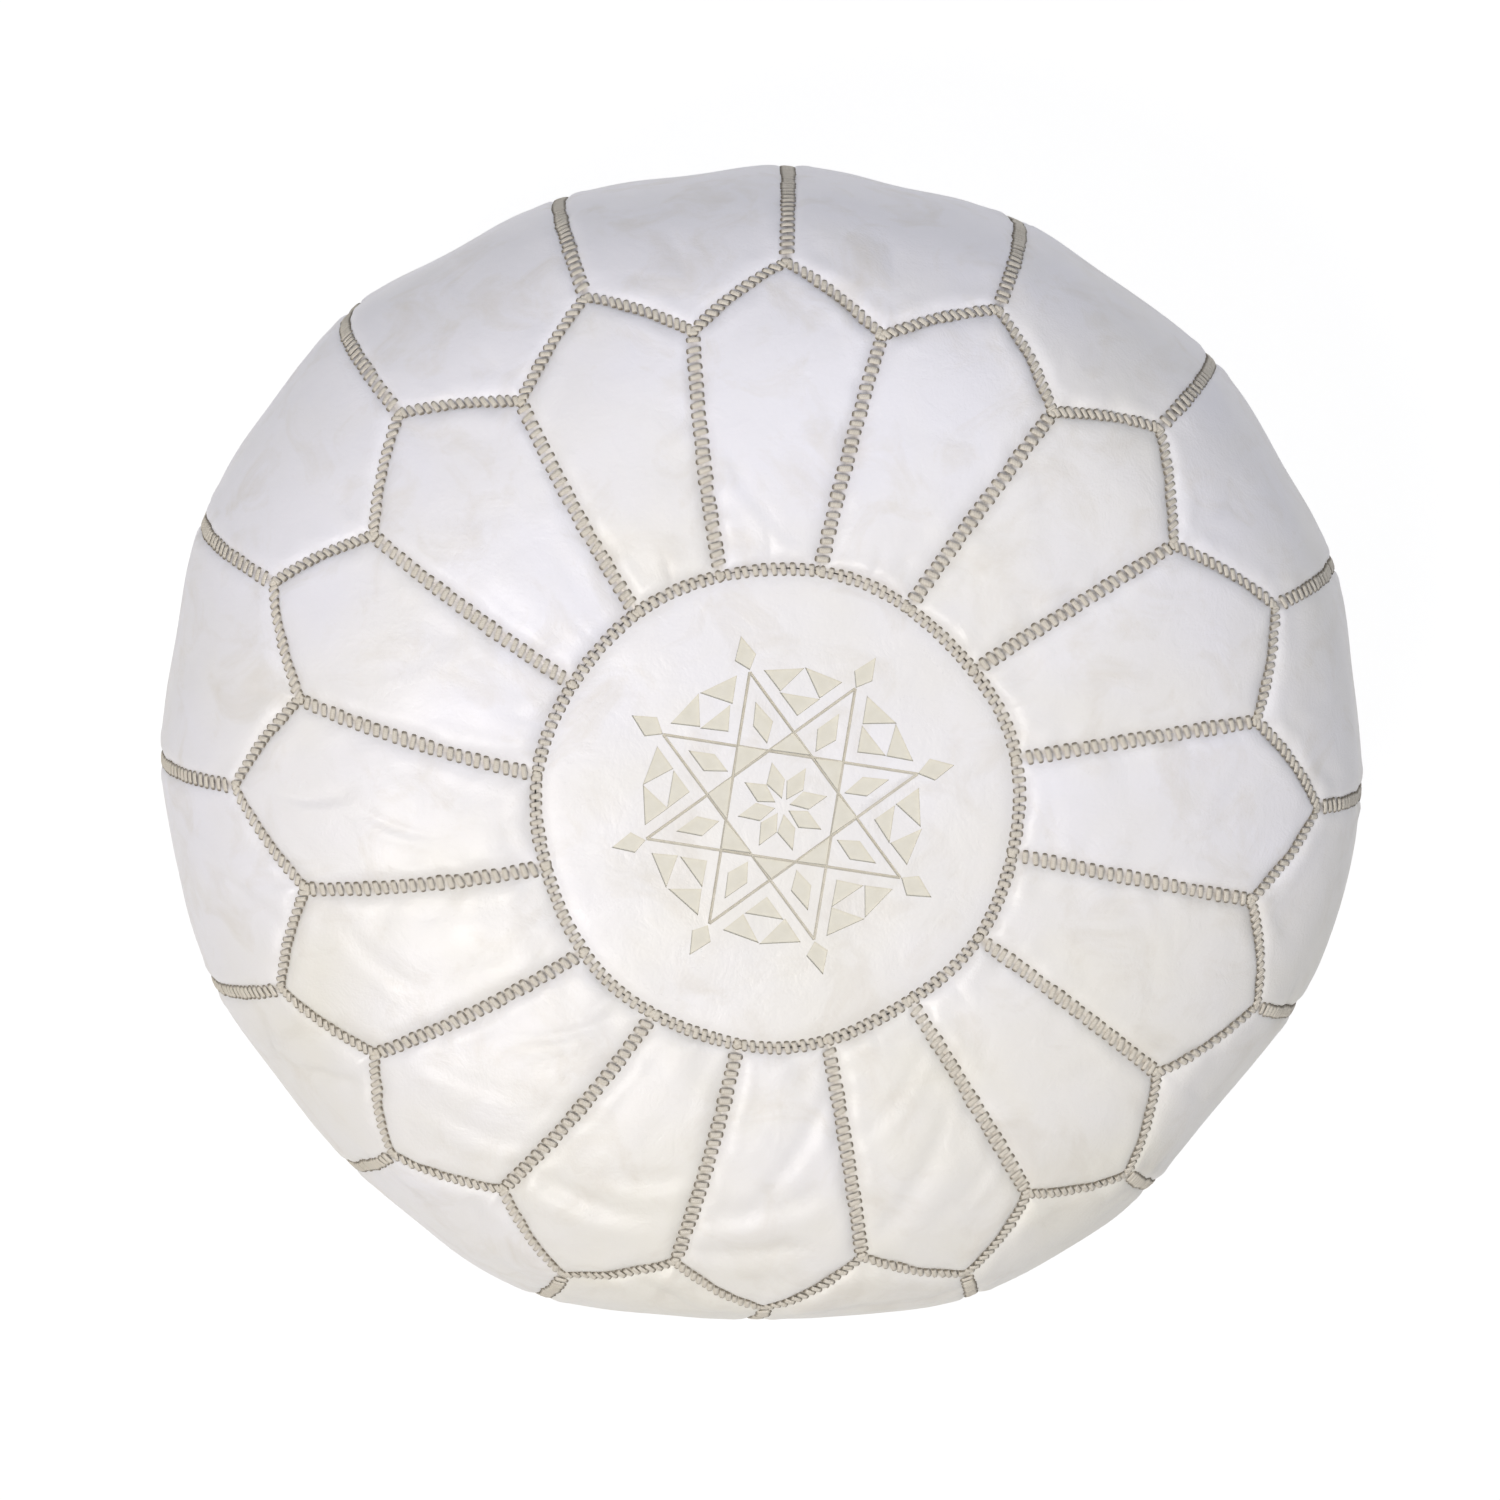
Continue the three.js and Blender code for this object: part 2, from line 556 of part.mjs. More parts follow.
const INNER_SEGMENTS = 24;
const INNER_STEPS = 14;
const linerDepth = LEATHER + FACET_DEPTH + LINER_EASE;
const fillingDepth = linerDepth + LINER + FILLING_EASE;
const zipHeadroom = plateHigh + SLIDER_PLATE + 1; // the liner's roof over the zip
const grooveHalf = GROOVE_WIDTH / 2 + 4;

// A body of revolution drawn in where the cover is slack.
function slackened(geometry) {
  const points = geometry.getAttribute('position');
  for (let i = 0; i < points.count; i++) {
    const radius = Math.hypot(points.getX(i), points.getY(i));
    const slack = slackAt(Math.atan2(points.getX(i), points.getY(i)), points.getZ(i));
    const kept = radius > BASE_FLAT_RADIUS ? 1 - slack / radius : 1;
    points.setXY(i, points.getX(i) * kept, points.getY(i) * kept);
  }
  return geometry;
}

// The stuffed body's shape at a depth under the leather, with the zip's groove cut out of its base.
function innerBody(depth, grooveExtra) {
  const outline = Array.from({ length: INNER_STEPS + 1 }, (_, i) => {
    const { point, normal } = station((PROFILE_LENGTH * i) / INNER_STEPS);
    return new THREE.Vector2(Math.max(0, point.x - normal.x * depth), point.y - normal.y * depth);
  });
  const reach = POUF_DIAMETER;
  const groove = box(
    corner(-reach, -grooveHalf - grooveExtra, -reach),
    corner(reach, grooveHalf + grooveExtra, zipHeadroom + grooveExtra),
  );
  return toSolid(slackened(turned(outline.reverse(), INNER_SEGMENTS))).subtract(toSolid(groove));
}

function liner() {
  const slit = box(
    corner(-LINER_SLIT_LENGTH / 2, -LINER_SLIT_WIDTH / 2, 0),
    corner(LINER_SLIT_LENGTH / 2, LINER_SLIT_WIDTH / 2, BELLY_HEIGHT),
  );
  const hollow = innerBody(linerDepth, 0).subtract(innerBody(linerDepth + LINER, LINER));
  return toGeometry(hollow.subtract(toSolid(slit)));
}

addPiece('inner_liner', 'liner_cotton', liner());
addPiece('filling', 'cotton_filling', toGeometry(innerBody(fillingDepth, LINER + FILLING_EASE)));

export default pouf;
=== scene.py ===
# %% [markdown]
# # A Moroccan leather pouf
# A pouf is a round floor cushion: a cover of goat leather, sewn by hand from many panels, stuffed hard
# with cotton through a zip in its base. Sixteen petals ring a medallion on the top, sixteen tall panels
# make the side, and a thick taupe thread crosses every seam in short bars.
#
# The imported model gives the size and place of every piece. This lesson gives each one its looks.

import math
from contextlib import contextmanager

import bpy
import numpy as np
from mathutils import Matrix, Vector, noise
from mathutils.bvhtree import BVHTree
from mathutils.kdtree import KDTree


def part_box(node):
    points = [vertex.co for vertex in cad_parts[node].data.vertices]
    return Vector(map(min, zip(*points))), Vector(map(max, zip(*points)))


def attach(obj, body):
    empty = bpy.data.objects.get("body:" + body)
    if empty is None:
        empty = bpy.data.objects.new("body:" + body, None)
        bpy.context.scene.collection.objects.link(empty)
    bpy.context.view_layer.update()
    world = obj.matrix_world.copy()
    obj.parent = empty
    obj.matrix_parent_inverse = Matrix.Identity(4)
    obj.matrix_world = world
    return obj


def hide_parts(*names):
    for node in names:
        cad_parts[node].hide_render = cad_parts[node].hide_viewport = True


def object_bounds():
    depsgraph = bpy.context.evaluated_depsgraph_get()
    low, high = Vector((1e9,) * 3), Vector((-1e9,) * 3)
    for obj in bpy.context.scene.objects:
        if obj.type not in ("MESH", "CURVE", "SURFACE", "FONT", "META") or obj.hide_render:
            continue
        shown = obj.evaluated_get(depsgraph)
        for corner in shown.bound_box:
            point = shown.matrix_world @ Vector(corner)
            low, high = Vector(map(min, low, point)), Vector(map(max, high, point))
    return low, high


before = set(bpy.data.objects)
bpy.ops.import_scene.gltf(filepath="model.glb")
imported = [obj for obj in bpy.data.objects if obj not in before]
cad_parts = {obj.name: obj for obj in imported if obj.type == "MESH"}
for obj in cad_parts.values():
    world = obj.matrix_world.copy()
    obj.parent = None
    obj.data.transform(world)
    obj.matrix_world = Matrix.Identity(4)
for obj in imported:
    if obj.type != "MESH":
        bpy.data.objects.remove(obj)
cad_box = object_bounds()
print(len(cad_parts), "nodes in a box from", [round(v, 3) for v in cad_box[0]],
      "to", [round(v, 3) for v in cad_box[1]])

# %% [markdown]
# ## The camera
# The pouf is seen almost straight down on its top, from 2.2 m away and leaning a little towards +Y, with
# +Y up in the picture. A camera's own axes are right, up and backwards, so its turn is built from those
# three directions. A long lens keeps the round top from looking stretched.

# %% Camera
VIEW_TILT = math.radians(8.28)  # from straight above, towards +Y
VIEW_LEAN = math.radians(-1.44)  # and towards +X
VIEW_DISTANCE, ASIDE, ABOVE = 2.2, -0.0075, 0.0012  # metres
SENSOR_WIDTH, LENS_LENGTH = 36, 113.2  # millimetres
middle = Vector((0, 0, cad_box[1].z / 2))
backwards = Vector((
    math.sin(VIEW_LEAN) * math.cos(VIEW_TILT),
    math.sin(VIEW_TILT),
    math.cos(VIEW_TILT) * math.cos(VIEW_LEAN),
)).normalized()
rightwards = Vector((0, 1, 0)).cross(backwards).normalized()
upwards = backwards.cross(rightwards)

lens = bpy.data.cameras.new("camera")
lens.sensor_width, lens.lens = SENSOR_WIDTH, LENS_LENGTH
camera = bpy.data.objects.new("camera", lens)
bpy.context.scene.collection.objects.link(camera)
bpy.context.scene.camera = camera
place = middle + backwards * VIEW_DISTANCE + rightwards * ASIDE + upwards * ABOVE
camera.matrix_world = Matrix((rightwards, upwards, backwards)).transposed().to_4x4()
camera.location = place
print("the camera looks down from", [round(v, 3) for v in place])

# %% [markdown]
# ## Small helpers
# Blender's operators work on whatever is selected, so each step first deselects everything and then
# selects just the piece it means. Sizes are written in millimetres, and times MM they are metres.

# %% Selecting and editing
MM = 0.001


def only(*pieces):
    """Select these pieces and nothing else, with the first one active."""
    bpy.ops.object.select_all(action="DESELECT")
    for piece in pieces:
        piece.select_set(True)
    bpy.context.view_layer.objects.active = pieces[0]


def settle(piece):
    """Move a piece's place into its mesh, so that its object sits at the origin."""
    only(piece)
    bpy.ops.object.transform_apply(location=True, rotation=True, scale=True)
    return piece


def shape(add_shape, **settings):
    """Run one of Blender's add operators and return the piece it makes."""
    bpy.ops.object.select_all(action="DESELECT")
    add_shape(**settings)
    return bpy.context.object


@contextmanager
def editing(piece):
    """Edit mode, with the whole of a piece's mesh selected."""
    only(piece)
    bpy.ops.object.mode_set(mode="EDIT")
    bpy.ops.mesh.select_all(action="SELECT")
    yield
    bpy.ops.object.mode_set(mode="OBJECT")


def finish_with(piece, kind, **settings):
    """Add a modifier and apply it."""
    only(piece)
    modifier = piece.modifiers.new(kind.title(), kind)
    for name, value in settings.items():
        setattr(modifier, name, value)
    bpy.ops.object.modifier_apply(modifier=modifier.name)


# %% [markdown]
# Pieces are also read, written and measured as arrays of points. Last, `hand_over` says what a finished
# piece is: which body it rides on and which imported node it stands for.

# %% Points, faces and handing over
def read_points(piece):
    """A piece's vertices as rows of x, y and z."""
    points = np.empty(len(piece.data.vertices) * 3)
    piece.data.vertices.foreach_get("co", points)
    return points.reshape(-1, 3)


def write_points(piece, points):
    piece.data.vertices.foreach_set("co", np.asarray(points).ravel())
    piece.data.update()


def read_normals(piece):
    normals = np.empty(len(piece.data.vertices) * 3)
    piece.data.vertex_normals.foreach_get("vector", normals)
    return normals.reshape(-1, 3)


def write_attribute(piece, name, values):
    """Keep one number for each vertex, for a material to read."""
    kept = piece.data.attributes.get(name) or piece.data.attributes.new(name, "FLOAT", "POINT")
    kept.data.foreach_set("value", np.asarray(values, dtype=np.float32))


def surface_area(piece):
    return sum(face.area for face in piece.data.polygons)


def all_faces(piece):
    return [tuple(face.vertices) for face in piece.data.polygons]


def build(name, points, faces, material):
    """A piece straight from lists of points and faces."""
    mesh = bpy.data.meshes.new(name)
    mesh.from_pydata(np.concatenate(points).tolist(), [], faces)
    mesh.update()
    piece = bpy.data.objects.new(name, mesh)
    bpy.context.scene.collection.objects.link(piece)
    piece.data.materials.append(material)
    return piece


def hand_over(piece, node, smooth_to=None):
    """Shade a finished piece smooth up to an angle in degrees, and say what it is."""
    if smooth_to:
        only(piece)
        bpy.ops.object.shade_smooth_by_angle(angle=math.radians(smooth_to))
    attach(piece, "pouf")
    if node:
        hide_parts(node)


# %% [markdown]
# ## The cover's surface
# Every seam and panel lies on one surface. Its profile is the one that the model was made with: two
# rounded arcs that meet at the belly. A place on it is an angle, clockwise from +Y seen from above, and a
# length of leather measured from the middle of the top. Leather is sewn flat, so seams are placed by the
# length of leather, as a pattern cutter does. The filling has settled, so the body is a little oval and
# hangs slack towards -Y.

# %% Profile
BODY_RADIUS, HEIGHT, BELLY_HEIGHT = 275, 340, 175
TOP_FLAT, TOP_FULLNESS = 40, 3.5
BASE_FLAT, BASE_FULLNESS = 150, 2.2
FACET_DEPTH = 4
SLACK_DEPTH, OVAL_DEPTH = 11, 4
# Each hollow is where it lies in degrees from -Y towards +X, how many degrees it spreads, and how far the
# cover hangs in there, or swells out where that is negative, in millimetres.
UPPER_HOLLOWS = ((0, 13, 7), (-30, 10, -5), (56, 14, 6.5))
BELLY_HOLLOWS = ((92, 22, 5), (-128, 24, -8))
PETALS = 16
PETAL_ANGLE = math.tau / PETALS
HALF_ANGLE = PETAL_ANGLE / 2
PROFILE_STEPS = 120  # in each of the two arcs


def profile():
    """Radius and height along the outline, from the middle of the top to the middle of the base."""
    turn = np.linspace(0, math.pi / 2, PROFILE_STEPS + 1)
    top_r = TOP_FLAT + (BODY_RADIUS - TOP_FLAT) * np.sin(turn) ** (2 / TOP_FULLNESS)
    top_z = BELLY_HEIGHT + (HEIGHT - BELLY_HEIGHT) * np.abs(np.cos(turn)) ** (2 / TOP_FULLNESS)
    base_r = BASE_FLAT + (BODY_RADIUS - BASE_FLAT) * np.sin(turn) ** (2 / BASE_FULLNESS)
    base_z = BELLY_HEIGHT - BELLY_HEIGHT * np.abs(np.cos(turn)) ** (2 / BASE_FULLNESS)
    r = np.concatenate(([0], top_r, base_r[-2::-1], [0]))
    z = np.concatenate(([HEIGHT], top_z, base_z[-2::-1], [0]))
    return r, z


profile_r, profile_z = profile()
profile_length = np.concatenate(([0], np.cumsum(np.hypot(np.diff(profile_r), np.diff(profile_z)))))
BELLY = profile_length[PROFILE_STEPS + 1]
RING, SHOULDER, TIP = 104, 210, 240.5
BASE_RING = profile_length[-1] - 186
print(f"leather from the top's middle to the belly {BELLY:.0f} mm, to the base seam {BASE_RING:.0f} mm")

# %% [markdown]
# Nothing sewn by hand is exact. The medallion sits a couple of millimetres off, and each row of seams
# wanders by a degree or so. A few slow waves round the body give that, different for each row.

# %% The seams' wandering
MEDALLION_TURN, SHOULDER_TURN, SIDE_TURN = (math.radians(a) for a in (-1.6, 1.2, 2.2))
RING_WAVE, RING_WAVE_FROM = 0.8, 60  # how uneven the ring seam is, and from where that starts to show


def waves(angle, size, seed):
    """A slow, uneven wave round the body, about size high."""
    random = np.random.default_rng(seed)
    total = np.zeros_like(angle)
    for count in range(2, 8):
        total += random.normal() * np.cos(count * angle + random.uniform(0, math.tau))
    return total * size / 2.4


def share(value, start, end):
    """How far a value has come from start to end, kept between 0 and 1."""
    return np.clip((value - start) / (end - start), 0, 1)


def cover_place(angle, length):
    """Where the sewing really put this place of the pattern."""
    to_shoulder = share(length, RING, SHOULDER)
    to_side = share(length, SHOULDER, BELLY)
    turn = (MEDALLION_TURN + (SHOULDER_TURN - MEDALLION_TURN) * to_shoulder
            + (SIDE_TURN - SHOULDER_TURN) * to_side)
    at_ring = math.radians(1.2) * np.sin(angle) + waves(angle, math.radians(0.45), 3)
    at_shoulder = waves(angle, math.radians(0.7), 11)
    at_side = waves(angle, math.radians(0.5), 5)
    drift = at_ring * (1 - to_shoulder) + at_shoulder * (to_shoulder - to_side) + at_side * to_side
    fades = share(length, 0, RING) * (1 - share(length, BELLY, BASE_RING))
    stretch = waves(angle, 2.2, 8) * to_shoulder * (1 - share(length, TIP, BELLY))
    wider = waves(angle, RING_WAVE, 9) * share(length, RING_WAVE_FROM, RING) * (1 - to_shoulder)
    return angle + turn + drift * fades, length + stretch + wider


def smoothstep(value, start, end):
    part = share(value, start, end)
    return part * part * (3 - 2 * part)


def hollow(turned, hollows):
    """How far rows of hollows draw the cover in at each angle."""
    total = np.zeros_like(turned)
    for place, spread, depth in hollows:
        aside = (360 - np.degrees(turned) - place) % 360 - 180
        total += depth * np.exp(-(aside / spread) ** 2)
    return total


def slack(turned, z):
    """How much nearer the axis the settled filling leaves the cover, in millimetres."""
    high = z / HEIGHT
    hung = SLACK_DEPTH * smoothstep(-np.cos(turned), 0.05, 0.8) + hollow(turned, UPPER_HOLLOWS)
    oval = OVAL_DEPTH * np.cos(turned) ** 2 + hollow(turned, BELLY_HOLLOWS)
    return (hung * smoothstep(high, 0.32, 0.78) * (1 - smoothstep(high, 0.81, 0.955))
            + oval * smoothstep(high, 0.18, 0.5) * (1 - smoothstep(high, 0.74, 0.95)))


def cover_point(angle, length, out=0.0):
    """Points of the cover in metres, and the way out of it, for arrays of angle, length and out."""
    angle, length = np.broadcast_arrays(np.asarray(angle, float), np.asarray(length, float))
    above, below = share(length, SHOULDER, BELLY), 1 - share(length, BELLY, BASE_RING)
    facet = FACET_DEPTH * above * below * (1 - np.cos(PETALS * angle)) / 2
    turned, run = cover_place(angle, length)
    run = np.clip(run, 0, profile_length[-1])
    r, z = np.interp(run, profile_length, profile_r), np.interp(run, profile_length, profile_z)
    dr, dz = (np.interp(run + 0.5, profile_length, along) - np.interp(run - 0.5, profile_length, along)
              for along in (profile_r, profile_z))
    size = np.hypot(dr, dz)
    out_r, out_z = -dz / size, dr / size
    height = z + out_z * out
    radius = r - facet + out_r * out - slack(turned, height)
    way = np.stack([out_r * np.sin(turned), out_r * np.cos(turned), out_z], axis=-1)
    point = np.stack([radius * np.sin(turned), radius * np.cos(turned), height], axis=-1)
    return point * MM, way


def zigzag(from_tip):
    """The zigzag seam's length of leather from the top's middle, by the angle from the nearest tip."""
    return TIP - (TIP - SHOULDER) * np.abs(from_tip) / HALF_ANGLE


# %% [markdown]
# ## Cutting the panels
# Each panel starts as a flat grid, like the piece of leather before it is sewn, and its points are then
# laid on the cover. The rows crowd towards the seams, where the leather bends most. Neighbours share
# every point along their seam, so they can be sewn by merging.

# %% Cutting
COLUMNS, PETAL_ROWS, SIDE_ROWS = 20, 20, 48
SEWN_WITHIN = 0.05  # millimetres


def crowded(share_along):
    """Even steps from 0 to 1 made closer together towards both ends."""
    return 0.4 * share_along + 0.6 * (1 - np.cos(math.pi * share_along)) / 2


def cut_panel(node, rows, centre, first_edge, last_edge):
    """A grid of leather laid on the cover between two edges, half a petal's angle to each side of centre."""
    panel = shape(bpy.ops.mesh.primitive_grid_add, x_subdivisions=COLUMNS, y_subdivisions=rows, size=2)
    flat = read_points(panel)
    across = np.sign(flat[:, 0]) * crowded(np.abs(flat[:, 0]))
    down = crowded((flat[:, 1] + 1) / 2)
    length = first_edge(across) * (1 - down) + last_edge(across) * down
    write_points(panel, cover_point(centre + across * HALF_ANGLE, length)[0])
    panel.data.materials.append(bpy.data.materials.new(node))
    cut_area[node] = surface_area(panel)
    return panel


cut_area = {}
panels = []
for k in range(PETALS):
    panels.append(cut_panel(f"petal_{k + 1:02d}", PETAL_ROWS, k * PETAL_ANGLE,
                            lambda across: np.full_like(across, RING),
                            lambda across: zigzag(across * HALF_ANGLE)))
    panels.append(cut_panel(f"side_panel_{k + 1:02d}", SIDE_ROWS, (k + 0.5) * PETAL_ANGLE,
                            lambda across: zigzag((1 - np.abs(across)) * HALF_ANGLE),
                            lambda across: np.full_like(across, BASE_RING)))
print(f"{len(panels)} panels; a petal is {cut_area['petal_01'] * 1e4:.0f} cm2, a side panel "
      f"{cut_area['side_panel_01'] * 1e4:.0f} cm2")

# %% [markdown]
# ## Sewing and stuffing
# The panels are joined and their shared points merged, which sews them. Blender's Cloth then does the
# stuffing: pressure pushes the leather out from inside while the seams, in a pin group, stay put. The
# leather is let out by about a hundredth, so there is a little too much of it and it creases by itself.
# The filling can only push so far, so a point may move just a few millimetres.

# %% Sewing
only(*panels)
bpy.ops.object.join()
cover = bpy.context.object
cover.name = "cover"
with editing(cover):
    bpy.ops.mesh.remove_doubles(threshold=SEWN_WITHIN * MM)
print("the sewn cover has", len(cover.data.vertices), "points")


# %% Where the seams run
def seam_line(start, end, spacing=1.0):
    """Places of the pattern along a straight seam from one (angle, length) to another."""
    mid = np.interp((start[1] + end[1]) / 2, profile_length, profile_r)
    run = math.hypot((end[0] - start[0]) * mid, end[1] - start[1])
    along = np.linspace(0, 1, max(2, int(round(run / spacing)) + 1))
    return start[0] + (end[0] - start[0]) * along, start[1] + (end[1] - start[1]) * along


between = [(k + 0.5) * PETAL_ANGLE for k in range(PETALS)]
tips = [k * PETAL_ANGLE for k in range(PETALS)]
seam_ends = {"ring": [((0, RING), (math.tau, RING))], "base": [((0, BASE_RING), (math.tau, BASE_RING))]}
seam_ends["petal"] = [((a, RING), (a, SHOULDER)) for a in between]
seam_ends["zigzag"] = [
    ((a, TIP), (a + side * HALF_ANGLE, SHOULDER)) for a in tips for side in (-1, 1)
]
seam_ends["side"] = [((a, TIP), (a, BASE_RING)) for a in tips]
seam_points = np.concatenate([
    cover_point(*seam_line(start, end, 0.5))[0] for ends in seam_ends.values() for start, end in ends
])
seam_tree = KDTree(len(seam_points))
for number, point in enumerate(seam_points):
    seam_tree.insert(point, number)
seam_tree.balance()


def seam_distance(piece):
    """How far each point of a piece lies from the nearest seam, in millimetres."""
    return np.array([seam_tree.find(point)[2] for point in read_points(piece)]) / MM


# %% Stuffing
STUFFED_FRAMES = 18
TOP_SWELL, SIDE_SWELL = 3.0, 1.8  # millimetres
SIDE_TO_TOP = (290, 325)  # heights between which one goes over to the other

flat_cover = read_points(cover)
held = np.nonzero(seam_distance(cover) < 0.4)[0]
sewn = cover.vertex_groups.new(name="sewn")
sewn.add(held.tolist(), 1.0, "REPLACE")
cloth = cover.modifiers.new("Cloth", "CLOTH")
leather_cloth = {
    "vertex_group_mass": sewn.name, "quality": 5, "mass": 0.3, "tension_stiffness": 30,
    "compression_stiffness": 30, "shear_stiffness": 12, "bending_stiffness": 2, "shrink_min": -0.012,
    "use_pressure": True, "uniform_pressure_force": 4,
}
for name, value in leather_cloth.items():
    setattr(cloth.settings, name, value)
cloth.settings.effector_weights.gravity = 0
cloth.point_cache.frame_end = STUFFED_FRAMES
for number in range(1, STUFFED_FRAMES + 1):
    bpy.context.scene.frame_set(number)
only(cover)
bpy.ops.object.modifier_apply(modifier=cloth.name)
bpy.context.scene.frame_set(1)
swell = read_points(cover) - flat_cover
reach = np.linalg.norm(swell, axis=1)
print(f"the stuffing moved the leather {reach.max() / MM:.1f} mm at most, "
          f"{reach.mean() / MM:.1f} mm on average")
on_top = share(flat_cover[:, 2] / MM, *SIDE_TO_TOP)
most = (SIDE_SWELL + (TOP_SWELL - SIDE_SWELL) * on_top) * MM
kept = most * np.tanh(reach / most) / np.maximum(reach, 1e-9)
write_points(cover, flat_cover + swell * kept[:, None])

# %% [markdown]
# One level of Subdivision Surface smooths the grid. Along every seam the thread pulls the leather down
# into a soft valley, and the leather beside it rolls up again, so the seams are what gives the cover its
# quilted look. Each point keeps its distance to the nearest seam for the material to read.

# %% Smoothing and pulling the seams in
SEAM_DEPTH, SEAM_REACH = 1.9, 3.0


def cloudy(points, size, seed):
    """Smooth noise from about -1 to 1, with lumps about size millimetres across."""
    lump = 1 / (size * MM)
    return np.array([noise.noise(Vector((x * lump + seed, y * lump, z * lump))) for x, y, z in points]) * 1.6


def seam_shape(from_seam, points):
    """How far, in millimetres, the sewing lifts or lowers the leather at each point."""
    valley = -SEAM_DEPTH * np.exp(-(from_seam / SEAM_REACH) ** 2)
    roll = 0.5 * np.exp(-((from_seam - 8) / 4) ** 2)
    puckers = 0.45 * cloudy(points, 9, 2) * np.exp(-((from_seam - 4) / 7) ** 2)
    uneven = 0.55 * cloudy(points, 38, 6) * share(from_seam, 2, 16)
    return valley + roll + puckers + uneven


# Where a maker would press a crease with a thumb: petal, place down it and across it from 0 to 1, heading
# in degrees from straight down the petal, and run, depth and half width in millimetres.
CREASES = (
    (6, 0.72, 0.25, 62, 22, 0.8, 2.0), (7, 0.35, 0.55, -58, 26, 0.9, 2.0),
    (7, 0.62, 0.45, -48, 30, 1.1, 2.0), (7, 0.85, 0.30, -66, 20, 0.8, 2.0),
    (8, 0.50, 0.60, 40, 24, 0.6, 2.0), (8, 0.90, 0.35, 78, 22, 0.7, 2.0),
    (9, 0.66, 0.35, -70, 24, 1.0, 3.2), (10, 0.30, 0.50, -35, 22, 0.8, 2.0),
    (10, 0.75, 0.65, -62, 26, 0.5, 2.0), (12, 0.88, 0.50, 8, 16, 1.1, 2.0),
    (12, 0.60, 0.42, -25, 20, 0.7, 2.0), (13, 0.55, 0.60, 55, 24, 0.6, 2.0),
    (0, 0.30, 0.35, 32, 24, 0.8, 2.0), (0, 0.55, 0.60, -48, 18, 0.5, 2.0),
    (2, 0.60, 0.45, 52, 22, 0.5, 2.0), (3, 0.45, 0.55, -38, 20, 0.6, 2.0),
    (5, 0.70, 0.50, -60, 20, 0.6, 2.0), (14, 0.75, 0.40, 45, 20, 0.6, 2.0),
    (7, 1.45, 0.70, 82, 28, 1.4, 3.0), (8, 1.40, 0.20, -78, 26, 1.2, 3.0),
    (9, 1.50, 0.60, 75, 28, 1.3, 3.0), (10, 1.42, 0.40, -80, 24, 1.2, 3.0),
    (6, 1.50, 0.50, 70, 24, 1.1, 3.0), (11, 1.55, 0.30, 60, 22, 1.0, 3.0),
    (8, 0.72, 0.62, -75, 30, 1.5, 4.2), (8, 0.92, 0.60, -84, 26, 1.3, 3.6),
    (9, 0.84, 0.62, -87, 26, 2.0, 4.2), (8, 0.45, 0.35, -35, 34, 0.9, 3.4),
    (7, 0.75, 0.60, -52, 30, 1.2, 3.8), (10, 0.86, 0.35, -70, 24, 0.8, 3.4),
    (9, 1.25, 1.00, 30, 30, 1.6, 4.0), (10, 1.35, 1.00, -25, 32, 2.0, 4.2),
    (8, 1.22, 1.00, 60, 28, 1.5, 4.0), (11, 1.32, 1.00, -35, 30, 1.4, 3.6),
    (11, 0.80, 0.55, -60, 22, 0.9, 3.0), (4, 0.82, 0.45, 66, 20, 0.7, 2.6),
)


def press_creases(points):
    """How far each point sinks, in millimetres: a narrow furrow with a soft swelling on one side of it."""
    sunk = np.zeros(len(points))
    for petal, down, across, heading, run, depth, wide in CREASES:
        spot, way = cover_point((petal + across - 0.5) * PETAL_ANGLE, RING + (SHOULDER - RING) * down)
        outwards = np.cross(way, np.cross(spot / np.linalg.norm(spot), way))
        outwards /= np.linalg.norm(outwards)
        sideways = np.cross(way, outwards)
        turn = math.radians(heading)
        ahead = outwards * math.cos(turn) + sideways * math.sin(turn)
        aside = np.cross(way, ahead)
        offset = (points - spot) / MM
        far, off = offset @ ahead, offset @ aside
        off = off + 3 * (far / run) ** 2
        fade = np.exp(-(far / run) ** 4) * np.exp(-(offset @ way / 8) ** 2)
        sunk -= depth * fade * (np.exp(-(off / wide) ** 2) - 0.5 * np.exp(-((off / wide - 2.2) / 1.5) ** 2))
    return sunk


finish_with(cover, "SUBSURF", levels=1, render_levels=1)
from_seam = seam_distance(cover)
smooth = read_points(cover)
raised = seam_shape(from_seam, smooth) + press_creases(smooth) * share(from_seam, 1, 8)
shaped_cover = smooth + read_normals(cover) * (raised * MM)[:, None]
shaped_cover[:, 2] = np.maximum(shaped_cover[:, 2], 0.1 * MM)
write_points(cover, shaped_cover)
write_attribute(cover, "seam", from_seam)
leather_faces = [(read_points(cover), all_faces(cover))]
print("smoothed to", len(cover.data.polygons), "faces")

# %% [markdown]
# ## Materials
# Each finish is named for what it really is. One function turns the colours, which are ordinary sRGB hex
# values, into the linear ones that shaders take, and one adds a node with its settings and links. The
# short ones after it ask for the kinds of node that every finish here is made of.


# %% Colours and nodes
def linear(hex_colour):
    channels = [int(hex_colour[i:i + 2], 16) / 255 for i in (1, 3, 5)]
    return [c / 12.92 if c <= 0.04045 else ((c + 0.055) / 1.055) ** 2.4 for c in channels] + [1.0]


def add(tree, kind, inputs, **settings):
    """Add a node. A value in inputs is set on that socket, and another node's output is linked to it."""
    made = tree.nodes.new(kind)
    for name, value in settings.items():
        setattr(made, name, value)
    for socket, value in inputs.items():
        if isinstance(value, bpy.types.NodeSocket):
            tree.links.new(value, made.inputs[socket])
        else:
            made.inputs[socket].default_value = value
    return made


def new_material(name):
    material = bpy.data.materials.new(name)
    material.use_nodes = True
    material.node_tree.nodes.clear()
    return material, material.node_tree


